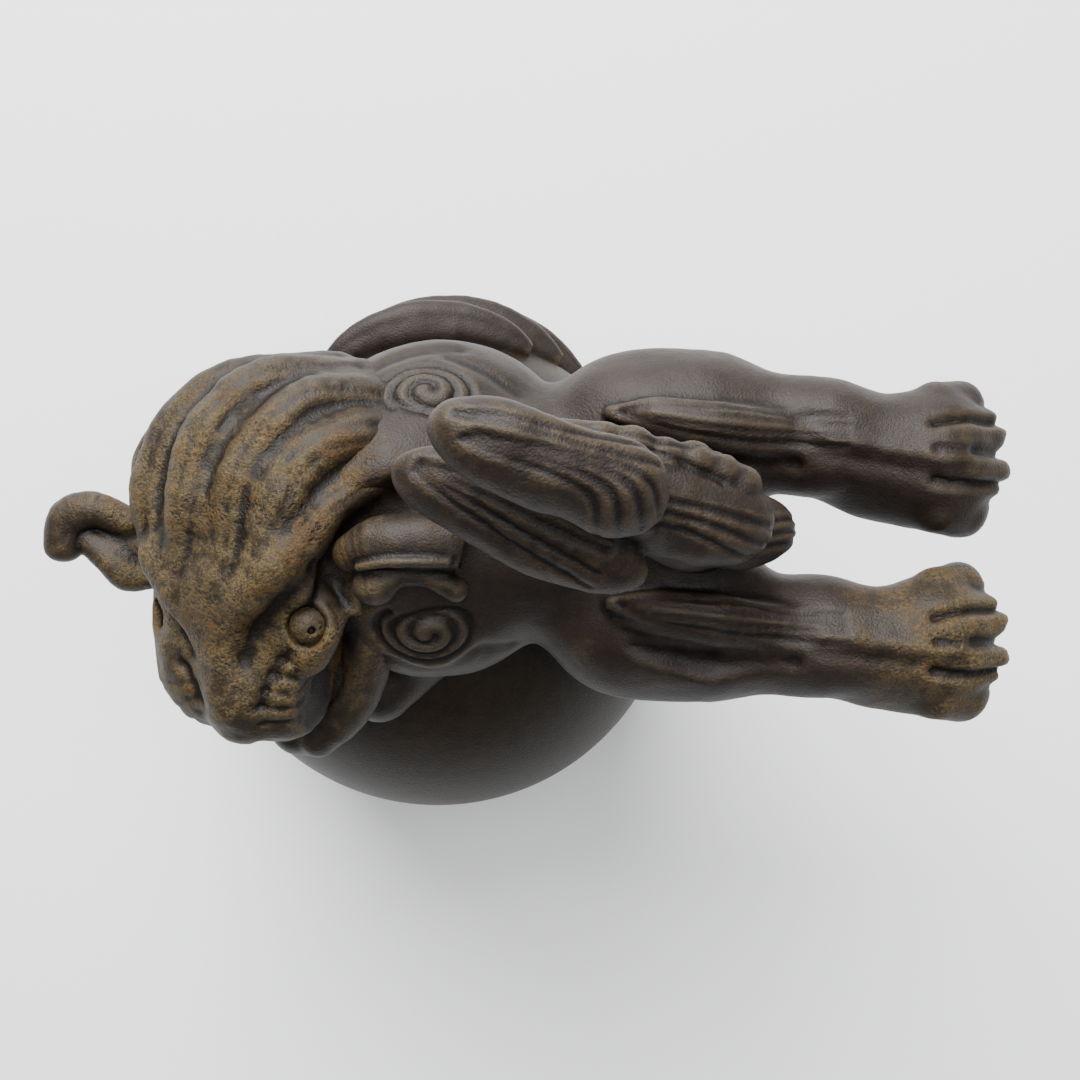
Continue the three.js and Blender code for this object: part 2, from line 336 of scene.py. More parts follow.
def stroke(corners, normals, points, depth, width, count=60):
    """Presses a groove along the path. A negative depth raises a ridge."""
    path = smooth_path(points, count)
    near = np.nonzero(((corners > path.min(0) - 3 * width) & (corners < path.max(0) + 3 * width)).all(1))[0]
    gap = np.full(len(near), 1e9)
    for p in path:
        gap = np.minimum(gap, ((corners[near] - p) ** 2).sum(1))
    corners[near] -= normals[near] * (depth * np.exp(-gap / width**2))[:, None]


def knead(corners, normals, size, amount, seed):
    """The unevenness that fingers leave."""
    shift = Vector((seed * 7.3, seed * 3.1, seed * 5.7))
    wave = [noise.noise(Vector(c) / size + shift) for c in corners]
    corners += normals * (amount * np.array(wave))[:, None]


# %% [markdown]
# The skin of a whole body is made at once, so that legs run smoothly into the belly. It is then parted into
# the potter's pieces. Each piece is closed where it was luted on, by a cap inside the joint, so that it is a
# solid of its own.

# %% Parting the skin into closed pieces

WALL_DEPTH = 0.8


def tidy_owners(faces, owner):
    """Gives a stray patch of a part to the part around it, so that each part is one patch."""
    edges = {}
    for f, ring in enumerate(faces):
        for a, b in zip(ring, np.roll(ring, -1)):
            edges.setdefault((min(a, b), max(a, b)), []).append(f)
    beside = [[] for _ in faces]
    for pair in edges.values():
        if len(pair) == 2:
            beside[pair[0]].append(pair[1])
            beside[pair[1]].append(pair[0])
    seen = np.zeros(len(faces), bool)
    patches = []
    for start in range(len(faces)):
        if seen[start]:
            continue
        seen[start] = True
        patch, front = [start], [start]
        while front:
            f = front.pop()
            for g in beside[f]:
                if not seen[g] and owner[g] == owner[start]:
                    seen[g] = True
                    patch.append(g)
                    front.append(g)
        patches.append(patch)
    largest = {}
    for patch in patches:
        part = owner[patch[0]]
        if part not in largest or len(patch) > len(largest[part]):
            largest[part] = patch
    for patch in patches:
        if patch is not largest[owner[patch[0]]]:
            around = [owner[g] for f in patch for g in beside[f] if owner[g] != owner[f]]
            if around:
                owner[patch] = max(set(around), key=around.count)
    return owner


def close_and_name(name, corners, faces, normals, marks):
    """Makes one closed piece from its faces. Each open joint gets a short wall inwards and a cap behind it.

    marks holds one value for each corner under each name, and goes on to the piece as an attribute.
    """
    used, local = np.unique(faces, return_inverse=True)
    local = local.reshape(faces.shape)
    points, ways = list(corners[used]), normals[used]
    rings = [tuple(ring) for ring in local]
    directed = {(ring[i], ring[(i + 1) % 4]) for ring in rings for i in range(4)}
    onward = {b: a for a, b in directed if (b, a) not in directed}
    while onward:
        start, point = onward.popitem()
        loop = [start]
        while point != start and point in onward:
            loop.append(point)
            point = onward.pop(point)
        first = len(points)
        points += [points[i] - WALL_DEPTH * ways[i] for i in loop]
        middle = np.mean(points[first:], axis=0)
        spread = np.linalg.norm(np.array(points[first:]) - middle, axis=1).mean()
        points.append(middle - 0.3 * spread * np.mean(ways[loop], axis=0))
        for n in range(len(loop)):
            m = (n + 1) % len(loop)
            rings.append((loop[n], loop[m], first + m, first + n))
            rings.append((first + n, first + m, len(points) - 1))
    mesh = bpy.data.meshes.new(name)
    mesh.from_pydata([tuple(p * MM) for p in points], [], rings)
    mesh.validate()
    mesh.shade_smooth()
    smooth = [tuple(n) for n in ways] + [(0, 0, 0)] * (len(points) - len(used))
    mesh.normals_split_custom_set_from_vertices(smooth)
    for label, values in marks.items():
        carried = np.concatenate([values[used], np.zeros(len(points) - len(used))])
        mesh.attributes.new(label, "FLOAT", "POINT").data.foreach_set("value", carried)
    return add_piece(name, mesh)


def add_piece(name, mesh):
    piece = bpy.data.objects.new(name, mesh)
    bpy.context.collection.objects.link(piece)
    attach(piece, "root")
    return piece


def measure(piece):
    counts = bmesh.new()
    counts.from_mesh(piece.data)
    open_edges = sum(1 for e in counts.edges if len(e.link_faces) != 2)
    volume = counts.calc_volume() / MM**3 / 1000
    triangles = sum(len(f.verts) - 2 for f in counts.faces)
    counts.free()
    print(f"{piece.name}: {triangles} triangles, {volume:.1f} cm3, {open_edges} open edges")


# %% [markdown]
# A lock or a stroke has to lie on the clay under it. The clay field gives that for nothing: from any point
# near the surface, the field says how far to go and its slope says which way.

# %% Settling a path on the clay


def settle(clay, points, lift):
    """Moves each point until it is `lift` millimetres above the clay. Returns the points and the way out."""
    settled = np.array(points, float)
    ways = np.zeros_like(settled)

    def sample(p):
        q = np.clip((p - clay.low) / clay.cell, 1, np.array(clay.field.shape) - 2.001)
        i = q.astype(int)
        t = q - i
        value = 0.0
        for a in (0, 1):
            for b in (0, 1):
                for c in (0, 1):
                    weight = (t[0] if a else 1 - t[0]) * (t[1] if b else 1 - t[1]) * (t[2] if c else 1 - t[2])
                    value += weight * clay.field[i[0] + a, i[1] + b, i[2] + c]
        return value

    for n, p in enumerate(settled):
        for _ in range(14):
            slope = np.array([sample(p + e) - sample(p - e) for e in np.eye(3) * clay.cell])
            way = unit(slope + 1e-9)
            p = p - np.clip(sample(p) - lift, -2, 2) * way
        settled[n], ways[n] = p, way
    return settled, ways


# %% [markdown]
# ## Marks that the finish needs
#
# Ash settles a little more on every ridge, and the shader also paints a highlight on every ridge and paints
# shade into every groove. Ash also gathers on the head, the left hind paw and a little on the tail, which
# stood nearest to the fire, and the corner of the mouth gets painted shade. A shader can only see this if the
# mesh carries it, so each corner of the skin gets two numbers, "ridge" and one for ash, which goes below zero
# for the painted shade of the mouth.

# %% Ridge, ash and painted mouth shade


def ridges(at, normals, a, b, radius=2.6, passes=3):
    """1 on a ridge of that radius in millimetres, -1 in a groove of it. a and b are the ends of the edges."""
    count = len(at)
    valence = np.maximum(np.bincount(a, minlength=count) + np.bincount(b, minlength=count), 1)
    pull = np.zeros((count, 3))
    np.add.at(pull, a, at[b] - at[a])
    np.add.at(pull, b, at[a] - at[b])
    gap = ((at[b] - at[a]) ** 2).sum(1)
    spread = np.bincount(a, gap, count) + np.bincount(b, gap, count)
    bend = -2 * (pull * normals).sum(1) / np.maximum(spread, 1e-9)
    for _ in range(passes):
        around = np.bincount(a, bend[b], count) + np.bincount(b, bend[a], count)
        bend = 0.5 * bend + 0.5 * around / valence
    return np.clip(bend * radius, -1, 1)


HEAD_MIDDLE = EYES + (0, 10, -3)
TAIL_MIDDLE = middle_of("tail_lock_left")
LEFT_PAW = middle_of("left_hind_paw")


def step(low, high, value):
    t = np.clip((value - low) / (high - low), 0, 1)
    return t * t * (3 - 2 * t)


MANE = middle_of("neck_mane") + (0.5, -1, 1)
# a deep furrow runs down between the last lock of the mane and the left ear
FURROW = [MANE + o for o in ((28, -5, 20), (19, -8.5, 20), (12.6, -14.5, 19.5), (10, -20.5, 17))]
MOUTH_CORNER = [on_head(2, 15, -6), on_head(8, 14, -7), on_head(14, 11.5, -8), on_head(19, 8, -10)]


def near(at, points, inner, outer):
    """1 within the inner distance of any of the points, 0 beyond the outer."""
    gap = np.min([np.linalg.norm(at - p, axis=1) for p in smooth_path(points, 12)], axis=0)
    return step(outer, inner, gap)


def ash_and_mouth_shade(at):
    """How much ash lies at a place: 1 facing the fire, 0 away from it, and -1 for painted shade in the corner
    of the mouth.
    """
    head = step(43, 20, np.linalg.norm(at - HEAD_MIDDLE, axis=1)) * step(5, -9, at[:, 0])
    paw = 0.8 * step(-23, -11, at[:, 0] - LEFT_PAW[0]) * step(16, 11, at[:, 1] - LEFT_PAW[1])
    thigh = 0.8 * step(9, 3, np.linalg.norm(at - (RUMP + (-14, -20, 2)), axis=1))
    tail = 0.2 * step(30, 22, np.linalg.norm(at - TAIL_MIDDLE, axis=1)) * step(16, 24, at[:, 2] - TORSO[2])
    ash_and_shade = np.max([head, paw, thigh, tail], axis=0) * (1 - 0.6 * near(at, FURROW, 3, 8))
    # painted shade: a mask over the corner of the mouth
    mouth = near(at, MOUTH_CORNER, 2.6, 4.6)
    return ash_and_shade * (1 - mouth) - mouth


# %% From clay to pieces


def work(name, clay, cuts, slots, slot, kneads):
    """Skins the clay, presses the strokes into it, kneads it and parts it into named pieces."""
    corners, faces, owner = skin(clay)
    normals = corner_normals(corners, faces)
    for path, depth, width in cuts:
        stroke(corners, normals, path, depth, width, 12 * len(path))
    for i, (size, amount) in enumerate(kneads):
        knead(corners, corner_normals(corners, faces), size, amount, len(name) + i)
    normals = corner_normals(corners, faces)
    marks = {
        "ridge": ridges(corners, normals, faces.ravel(), np.roll(faces, -1, axis=1).ravel()),
        "ash_and_shade": ash_and_mouth_shade(corners),
    }
    owner = tidy_owners(faces, owner)
    for index, part in enumerate(clay.parts):
        piece = close_and_name(part, corners, faces[owner == index], normals, marks)
        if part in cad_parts:
            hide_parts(part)
        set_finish(piece, slots.get(part, slot))
        measure(piece)


# %% [markdown]
# ## The body
#
# A barrel of a torso, two heavy thighs, and the legs. The hind legs are kicked straight out behind, and the
# forelegs come down on to the ball under the head. All of it is rolls and lumps, blended at the joints.

# %% Body clay

BODY_CELL = 0.6
body = Clay((-48, -36, 58), (106, 50, 128), BODY_CELL)

body.add("torso", lump(CHEST, (25, 24.5, 18)), 6)
body.add("torso", lump(CHEST + (2, 9.5, -3), (23, 21.5, 15)), 6)
body.add("torso", lump(LOIN, (22, 19.5, 16.5)), 6)
body.add("torso", lump(RUMP, (15, 18, 15)), 6)
body.add("torso", roll(CHEST + (-6, 1, 3), CHEST + (-22, -1, 5), 19, 15), 6)

# %% [markdown]
# The hind paws show their toes end on. Each has four, and the outer two are set back. The toe is a short
# roll that droops from the knuckle, and a small claw lies on its tip.

# %% Hind legs

TOES = [(0.2, 9, 4), (2.2, 4, 4.4), (2.6, -2.4, 4.3), (-0.2, -7.8, 4.8)]


def hind_paw(name, at):
    """Four toes in a fan over a round pad. at is the middle of the paw."""
    body.add(name, lump(at + (-2.6, 0, -0.8), (9.6, 11.4, 8.2)), 4)
    body.add(name, lump(at + (-2, 0, -5.5), (8, 8, 4.5)), 2)
    for ahead, across, radius in TOES:
        knuckle = at + (ahead - 3.4, across, 4.2 - 0.05 * across**2)
        toe = at + (ahead + 1.4, across * 1.03, 0.6 - 0.04 * across**2)
        body.add(name, roll(knuckle, toe, radius * 0.9, radius), 0.9)
        body.add(name, roll(toe + (-0.4, 0, -1), toe + (-1.6, 0, -6), radius * 0.9, radius * 0.7), 1.2)
        claw = toe + (radius * 0.72, 0, radius * 0.62)
        body.add(name, roll(claw + (-2, 0, 0.4), claw + (0.6, 0, -1.6), 0.8, 0.6), 0.7)


for name, side in SIDES.items():
    paw = middle_of(f"{name}_hind_paw")
    thigh = RUMP + (0, 17 * side, -2)
    hock = toward(thigh, paw, 0.48) + (2, 0.5 * side, 1.5)
    ankle = toward(hock, paw, 0.75) + (-1, -0.5, 0)
    leg = f"{name}_hind_leg"
    body.add(leg, lump(thigh + (-2, 0, 0), (19, 12.6, 14.5)), 5)
    body.add(leg, roll(toward(thigh, hock, 0.35), hock, 11.5, 9), 5)
    body.add(leg, roll(hock, ankle, 9, 9.2), 4)
    # the heel bulges under the end of the shank
    body.add(leg, lump(ankle + (-3, -4.5, -3), (11, 6, 6)), 3)
    hind_paw(f"{name}_hind_paw", paw)

# %% Shoulders, forelegs and forepaws

for name, side in SIDES.items():
    paw = middle_of(f"{name}_forepaw")
    shoulder = CHEST + (1, 15 * side + (2 if side > 0 else 0), -3)
    elbow = CHEST + (-1, 19 * side, -14)
    body.add(f"{name}_shoulder", lump(shoulder, (17, 12, 16)), 4)
    body.add(f"{name}_foreleg", roll(shoulder + (0, 0, -6), elbow, 9.5, 8.5), 4)
    body.add(f"{name}_foreleg", roll(elbow, paw + (8, 0, 5), 8.5, 6.8), 3)
    down = unit(paw - elbow)
    ahead = unit(down * (1, 0.3, 1) + (-0.4, 0, 0))
    above = unit(paw - BALL_MIDDLE - ahead * ((paw - BALL_MIDDLE) @ ahead))
    across = np.cross(above, ahead)
    body.add(f"{name}_forepaw", lump(paw, (8.2, 8, 6.4), ahead, above), 3)
    for spread in (-0.6, -0.2, 0.2, 0.6):
        knuckle = paw + 2 * ahead + 9.6 * spread * across + 1.5 * above
        toe = knuckle + (5.4 - 4 * spread**2) * ahead - 2 * above
        body.add(f"{name}_forepaw", roll(knuckle, toe, 2.6, 2.4), 0.9)
    # a raised boss under the curl of hair on the shoulder
    boss = CHEST + (1, (17.5 if side < 0 else 18.5) * side, 8)
    body.add(f"{name}_shoulder", lump(boss, (9, 7.5, 6), (1, 0, 0), (0, 0.5 * side, 1)), 2)

# the furrow beside the mane cuts into the shoulder too
body.carve(rope(FURROW, (4, 5, 5, 4)), 4)

# %% [markdown]
# Each hock carries a tuft, a long leaf that lies along the shank with its tip towards the body. A hollow is
# pressed in under its near edge. The far end dives into the shank, where the potter smeared it on.

# %% Hock tufts

TUFT_RUN = ((-13.6, 3.4, 0.8), (-7, 2.8, 1.2), (2, 1.6, 0.9), (12, 1, -1), (23, 0.6, -3.4))
cuts = []
for name in SIDES:
    node = f"{name}_hock_tuft"
    centre = middle_of(node)
    spine = [settle(body, [centre + (x, y, 0)], lift)[0][0] for x, y, lift in TUFT_RUN]
    hollow, _ = settle(body, [centre + (-10, -3.6, 0), centre + (2, -6.6, 0), centre + (15, -6, 0)], 0.6)
    body.add(node, rope(spine, (1.2, 2.9, 3.5, 3.1, 2)), 1)
    body.add(node, rope([p + (1, -2.4, -1) for p in spine], (0.8, 2.2, 2.8, 2.6, 1.4)), 1)
    body.carve(rope(hollow, (1.2, 2.8, 1.4)), 1.2)
    for shift in (-2.8, -1, 0.9, 2.6):
        row = smooth_path([p + (0, shift * s, 3) for p, s in zip(spine, (0.3, 0.9, 1, 1, 0.8))], 11)
        cuts.append((settle(body, row, 0)[0], 0.42, 0.62))

# %% Strokes on the body

for name, side in SIDES.items():
    paw = middle_of(f"{name}_hind_paw")
    # a tendon runs along the top of each shank and ends between the middle toes
    tendon = [paw + (-24, 2.2, 12), paw + (-15, 1, 11), paw + (-8, 0.2, 10), paw + (-1, 0.8, 9)]
    cuts.append((settle(body, tendon, 0)[0], -0.6, 1.5))
    cuts.append((settle(body, [p + (0, -3.4, 0) for p in tendon], 0)[0], 0.5, 1.8))
    for across in (6.7, 0.9, -5.2):
        cleft = [(-6, across * 0.9, 10), (1, across, 8), (8, across, 4), (10, across, -4)]
        cuts.append((settle(body, smooth_path([paw + o for o in cleft], 9), 0)[0], 1.25, 0.95))
    # the hair on the shoulder curls in a spiral
    hub = CHEST + (1, (17.5 if side < 0 else 19) * side, 11)
    turns = np.linspace(0.3, 16.6, 44)
    spiral = [hub + ((0.9 + 0.43 * a) * math.cos(a), (0.8 + 0.37 * a) * side * math.sin(a), 0) for a in turns]
    cuts.append((settle(body, spiral, 0)[0], 0.75, 0.75))
# soft folds of skin over the ribs
FOLDS = [
    ((-14, 22, 8), (6, 30, 6)),
    ((4, 27, 8), (16, 22, 10)),
    ((12, 14, 14), (22, 6, 14)),
    ((-8, -20, 4), (10, -16, 2)),
]
for start, end in FOLDS:
    bend = [CHEST + start, toward(CHEST + start, CHEST + end, 0.5) + (0, 2, 1), CHEST + end]
    cuts.append((settle(body, smooth_path(bend, 7), 0)[0], 0.7, 1.5))
SLOTS = {"left_hind_paw": "ash_clay"}
work("body", body, cuts, SLOTS, "body_clay", ((9, 0.5), (2.6, 0.07)))

# %% [markdown]
# ## The head and the mane
#
# The head is a broad box with a flat crown, a wide muzzle and an open mouth. It is sculpted in its own axes.
# Six broad locks are combed back from the brows, round the crown and on to the neck. They are rolls of clay
# pressed on and rubbed down, so they stand only a little proud and their creases are soft.

# %% Head clay

HEAD_CELL = 0.5
head = Clay(MANE - (34, 54, 30), MANE + (42, 30, 32), HEAD_CELL)
AHEAD, ABOVE = headways(1, 0, 0), headways(0, 0, 1)
head.add("head", lump(on_head(-14, 0, -4), (21, 20.5, 14), AHEAD, ABOVE), 4)
head.add("head", lump(on_head(4, 0, -5.5), (17, 13.5, 8.5), AHEAD, ABOVE), 4)
head.add("head", lump(on_head(4, -11, -5), (14, 9.5, 8), AHEAD, ABOVE), 9)
head.add("head", lump(on_head(6, 4, -3), (12, 9, 7), AHEAD, ABOVE), 4)
head.add("head", lump(on_head(8, -12, -5.5), (9, 6.5, 6), AHEAD, ABOVE), 5)
head.add("head", rope([on_head(-6, 0, 4), on_head(4, 0, 2.5), on_head(14, 0, 0.8)], (6, 5.5, 4.5)), 4)
head.add("neck_mane", lump(MANE + (7, 1, 1), (27, 17, 18)), 5)
head.add("neck_mane", lump(MANE + (-6, -3, -1), (17.5, 16, 15)), 5)
head.add("neck_mane", lump(MANE + (4, 8.5, 1), (17, 11, 12)), 5)
head.add("head", lump(MANE + (8, -12, 5), (9, 12, 10)), 3)
for name, side in (("left", 1), ("right", -1)):
    head.add("head", lump(on_head(-6, 13.5 * side, -8), (9, 7, 8), AHEAD, ABOVE), 3)
    pad = lump(on_head(9.5, 7 * side, -7), (9.5, 6.5, 6.5), headways(1, -0.25 * side, 0), ABOVE)
    head.add(f"{name}_whisker_pad", pad, 4)
    brow = ((1, 3.5, 4), (-4.5, 7.5, 6.2), (-9.5, 12, 6), (-15, 16, 4))
    brow = [on_head(f, l * side, u) for f, l, u in brow]
    head.add(f"{name}_brow", rope(brow, (2.4, 3.8, 3.8, 1.8)), 3)
head.add("nose", lump(on_head(16.5, 0, -1.4), (4, 6.6, 3.8), AHEAD, ABOVE), 1.6)
for side in (1, -1):
    # the wings of the nose and its nostrils
    head.add("nose", lump(on_head(15.5, 5.5 * side, -2.4), (3.4, 2.8, 2.8), AHEAD, ABOVE), 1.2)
    head.carve(lump(on_head(19.4, 3.4 * side, -2.2), (2.4, 1.5, 1.3), AHEAD, ABOVE), 0.5)
# the mouth is open from the front to its left corner
head.carve(lump(on_head(9, 0, -15.5), (24, 14, 4.5), headways(1, 0, 0.04), ABOVE), 1.0)
head.carve(lump(on_head(9.5, 14.6, -8.5), (12.5, 4.2, 9.5), headways(1, -0.3, 0), ABOVE), 1.4)
head.carve(rope(FURROW, (3.4, 4.4, 4.6, 3.6)), 3)
for side in (1, -1):
    # lids as one almond, with a socket pressed into it
    head.add("head", lump(on_head(0.8, 12.6 * side, -1.8), (7, 5, 4), AHEAD, ABOVE), 2.4)
    head.carve(lump(on_head(0.2, 14.2 * side, 1.3), (3.4, 3, 2.6), AHEAD, ABOVE), 1.2)

# %% Six locks of the mane

LOCKS = [
    [(3, 19.5, -2), (-14, 14, 0), (-22.5, 4, 1), (-24.5, -6, 1), (-23, -19, 0)],
    [(9, 19, 3), (-7, 14.5, 6), (-15.5, 4.5, 7), (-17.5, -7, 7), (-16, -19, 4)],
    [(14, 18.5, 8), (-1, 14, 11), (-8, 5.5, 13), (-10.5, -4, 14), (-10.5, -16, 11)],
    [(26, 13, 11), (10, 13, 17), (3, 7, 19), (-2, -2, 19), (-3.5, -13, 17)],
    [(27, 7, 14), (15, 5.5, 19), (8, 2, 21), (3.5, -5.5, 22), (1.5, -15, 20)],
    [(28, 1, 15), (20, -1.5, 18), (12.6, -6, 20), (7.4, -12.4, 21), (6, -19, 19)],
]
SUNK, RADII = 1.9, (2.6, 4.4, 4.8, 4.6, 2.4)
# the last lock is thinner and stands higher, as the rim of the mane
RIM_SUNK, RIM_RADII = 0.9, (2.2, 2.9, 3.1, 3.2, 2.6)
ROOT_SUNK = 1.8
for i, offsets in enumerate(LOCKS):
    sunk, radii = (SUNK, RADII) if i < 5 else (RIM_SUNK, RIM_RADII)
    path, _ = settle(head, [MANE + o for o in offsets], -sunk)
    path[0] -= (0, 0, ROOT_SUNK)
    LOCKS[i] = (path, radii)
for i, (path, thick) in enumerate(LOCKS):
    head.add(f"mane_lock_{i + 1}", rope(path, thick), 1.5)

# %% Strokes on the head

cuts = []
for side in (1, -1):
    for i in range(5):
        start = on_head(15 - 2.4 * i, (4.5 + 0.9 * i) * side, 0)
        end = on_head(15.5 - 2.7 * i, (13 + 0.5 * i) * side, -6)
        line = smooth_path([start, toward(start, end, 0.5) + 1.5 * ABOVE, end], 7)
        cuts.append((settle(head, line, 0)[0], 0.38 if side > 0 else 0.2, 0.6))
    under_brow = ((5, 3, 3), (-0.5, 7, 5), (-5.5, 12, 5), (-9, 18, 3))
    under_brow = [on_head(f, l * side, u) for f, l, u in under_brow]
    cuts.append((settle(head, under_brow, 0)[0], 1.1, 1.7))
    side_fold = [on_head(13, 6 * side, 1), on_head(8, 8.5 * side, 2), on_head(4, 11.5 * side, 1.5)]
    cuts.append((settle(head, side_fold, 0)[0], 0.9, 1.3))
# every lock carries two fine combed lines
for path, thick in LOCKS:
    for shift in (-0.35, 0.3):
        sideways = [np.cross(b - a, (0, 0, 1)) for a, b in zip(path, np.roll(path, -1, axis=0))]
        sideways[-1] = sideways[-2]
        line = [p + shift * r * unit(s) + (0, 0, r) for p, r, s in zip(path, thick, sideways)]
        cuts.append((settle(head, line, 0)[0], 0.22, 0.75))
work("head", head, cuts, {}, "ash_clay", ((7, 0.6), (2.4, 0.16), (1.1, 0.05)))

# %% [markdown]
# ## Pieces set into the head
#
# The eyes, the jaw, the tongue and the ears are lumps of their own, each sculpted on a small grid. An eye is
# a ball with the pupil drilled by a stick.

# %% Small clay pieces


def small_piece(name, adds, carves, cell, slot, cuts=(), uneven=0.15):
    """Sculpts one piece on its own grid. adds and carves are lists of (shape, blend)."""
    low = np.min([shape[1] for shape, _ in adds], axis=0) - 3
    high = np.max([shape[2] for shape, _ in adds], axis=0) + 3
    clay = Clay(low, high, cell)
    for shape, blend in adds:
        clay.add(name, shape, blend)
    for shape, blend in carves:
        clay.carve(shape, blend)
    work(name, clay, cuts, {}, slot, ((2.5, uneven),))


for name, side in (("left", 1), ("right", -1)):
    middle = on_head(0, 12.6 * side, -0.9)
    outward = unit(headways(0.25, 0.75 * side, 0.6))
    small_piece(
        f"{name}_eye",
        [(lump(middle, (3.3, 3.3, 3.2)), 1)],
        [(roll(middle + 2.4 * outward, middle + 6 * outward, 0.6, 0.7), 0.4)],
        0.3, "ash_clay", uneven=0.05,
    )

# %% Jaw and tongue

JAW_ARM = [(-4, 16, -9.5), (3.5, 15.2, -13.6), (10.9, 12.4, -16.8), (17.1, 8.2, -18), (22, 2.5, -18)]
jaw, lines = [], []
for side in (1, -1):
    arm = [on_head(f, l * side, u) for f, l, u in JAW_ARM]
    jaw.append((rope(arm, (3.8, 4.2, 3.9, 3.8, 3.8)), 2))
    lines.append(([p + 1.2 * side * HEAD_LEFT + 3 * ABOVE for p in arm[:4]], 0.5, 0.8))
jaw.append((lump(on_head(7, 0, -21), (14, 11, 3.6), AHEAD, ABOVE), 2.5))
jaw.append((lump(on_head(21.5, -2, -19), (4.4, 6, 4), AHEAD, ABOVE), 1.6))
bowl = [(lump(on_head(7, 0, -14.5), (12, 8.5, 5), AHEAD, ABOVE), 1)]
small_piece("lower_jaw", jaw, bowl, 0.5, "ash_clay", lines)
tongue = [(lump(on_head(5, 0.5, -14.5), (13, 11.4, 3.4), AHEAD, ABOVE), 1)]
middle_line = [(roll(on_head(-4, 0, -11), on_head(16, 0, -11.4), 1.1, 0.8), 0.6)]
small_piece("tongue", tongue, middle_line, 0.5, "mouth_clay")

# %% [markdown]
# An ear is a leaf of clay rolled over a finger. Its upper side is a smooth band, a sharp edge runs along the
# fold, and the lower side curls back to a small bulb. The end flares open.

# %% Ears



def off(place, *offsets):
    return [place + o for o in offsets]


EAR = middle_of("left_ear")
band = off(EAR, (-10.5, 1.2, -0.5), (-6, 2.6, 0.8), (-1, 2.9, 1.2), (4.5, 2.6, 0.6))
edge = off(EAR, (-8.8, -1, 3.4), (-5, -0.4, 4.7), (0, -0.2, 5.1), (4.8, -0.4, 4.4))
rim = off(EAR, (-6, -3.8, 0), (-2.6, -2.2, 0.2), (1.5, -2.4, 0), (5.6, -4.6, -1))
left_ear = [
    (rope(band, (3, 4.2, 4.3, 4.5)), 1),
    (rope(edge, (0.6, 0.8, 0.8, 0.7)), 0.9),
    (lump(EAR + (-6.9, -4, -0.6), (3.4, 3.1, 3)), 1.4),
    (rope(rim, (2.2, 2, 1.9, 2)), 1),
]
hollow = [
    (lump(EAR + (9.4, 1.6, 0.8), (4.8, 3.3, 3.1)), 0.8),
    (roll(EAR + (-4, -2.4, 3.2), EAR + (6, -2.6, 2.4), 0.6, 1), 0.8),
]
small_piece("left_ear", left_ear, hollow, 0.33, "ash_clay")

EAR = middle_of("right_ear")
band = off(EAR, (-9, -1.8, 0.5), (-7.8, 2.4, 1), (-3.4, 4, 1.6), (2, 2, 0.6))
rim = off(EAR, (-4.4, -1.6, 0), (-0.6, -4.6, 0), (1.8, -7, -0.6), (5.6, -7.4, -1))
right_ear = [
    (rope(band, (3.4, 3.7, 3.2, 2.6)), 1),
    (rope(rim, (2.6, 3.1, 3.3, 2.4)), 0.8),
    (lump(EAR + (2, -1.6, -1), (6.4, 5, 2.6)), 1.2),
]
fold = [(rope(off(EAR, (-7, -0.6, 5), (-1, -1.4, 4), (3.4, -4.6, 2.8)), (1, 1, 0.8)), 0.6)]
small_piece("right_ear", right_ear, fold, 0.33, "ash_clay")

# %% [markdown]
# ## The tail
#
# The tail stands up from the rump and opens into broad lobes like flames, which lean forward over the back.
# Each lobe is a thick leaf, combed with a tool from its root round to its edge. The lobes are blended on to
# one another with slip, but every one is a leaf of its own.

# %% Tail clay

TAIL_CELL = 0.45
low = np.min([corners_of(n)[0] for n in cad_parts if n.startswith("tail")], axis=0) - 7
high = np.max([corners_of(n)[1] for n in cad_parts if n.startswith("tail")], axis=0) + 7
tail = Clay(low - (0, 3, 10), high, TAIL_CELL)
STEM = middle_of("tail_stem")
spine = off(STEM, (9, -2, -19), (7, -1, -8), (0, 1, 3), (-8, 3, 10))
tail.add("tail_stem", rope(spine, (8, 7.6, 6.5, 4)), 2)

# Every leaf of a lobe is an offset from its middle, its half lengths, the way it runs and the way it faces.
LOBES = {
    "low": [
        ((0, 0, 0.5), (10.5, 6, 4.4), (1, 0, -0.42), (0.4, 0, 1)),
        ((-8, 1, 3), (9, 6, 4.4), (1, 0, -0.3), (0.3, 0, 1)),
    ],
    "left": [
        ((3, -1, 0), (16.5, 6.6, 4.2), (1, -0.45, -0.16), (0, -0.55, 1)),
        ((-8, 4.4, 2), (10, 5.6, 3.4), (1, -0.42, -0.1), (0, -0.4, 1)),
    ],
    "middle": [
        ((-1, 2.5, 1.5), (13.5, 7.2, 5), (1, -0.26, -0.3), (0.2, -0.35, 1)),
        ((6, 1, -0.5), (8, 6.6, 4.8), (1, -0.3, -0.4), (0.3, -0.3, 1)),
    ],
    "right": [
        ((-1, 0, 0.5), (14.5, 4.6, 4.6), (1, -0.3, -0.36), (0.2, 0.45, 1)),
    ],
    "top": [
        ((-0.6, -0.8, 2), (14.6, 6.2, 4.2), (1, -0.34, -0.24), (0.1, -0.5, 1)),
        ((8, -3.6, -0.5), (7.6, 6.8, 4.4), (1, -0.42, -0.3), (0.1, -0.5, 1)),
        ((-8.4, 2.8, 3.4), (7.4, 5, 3.8), (1, -0.2, 0), (0, -0.3, 1)),
    ],
}
for lobe, leaves in LOBES.items():
    node = f"tail_lock_{lobe}"
    for i, (offset, size, along, flat) in enumerate(leaves):
        tail.add(node, lump(middle_of(node) + offset, size, along, flat), 2 if i else 0.8)
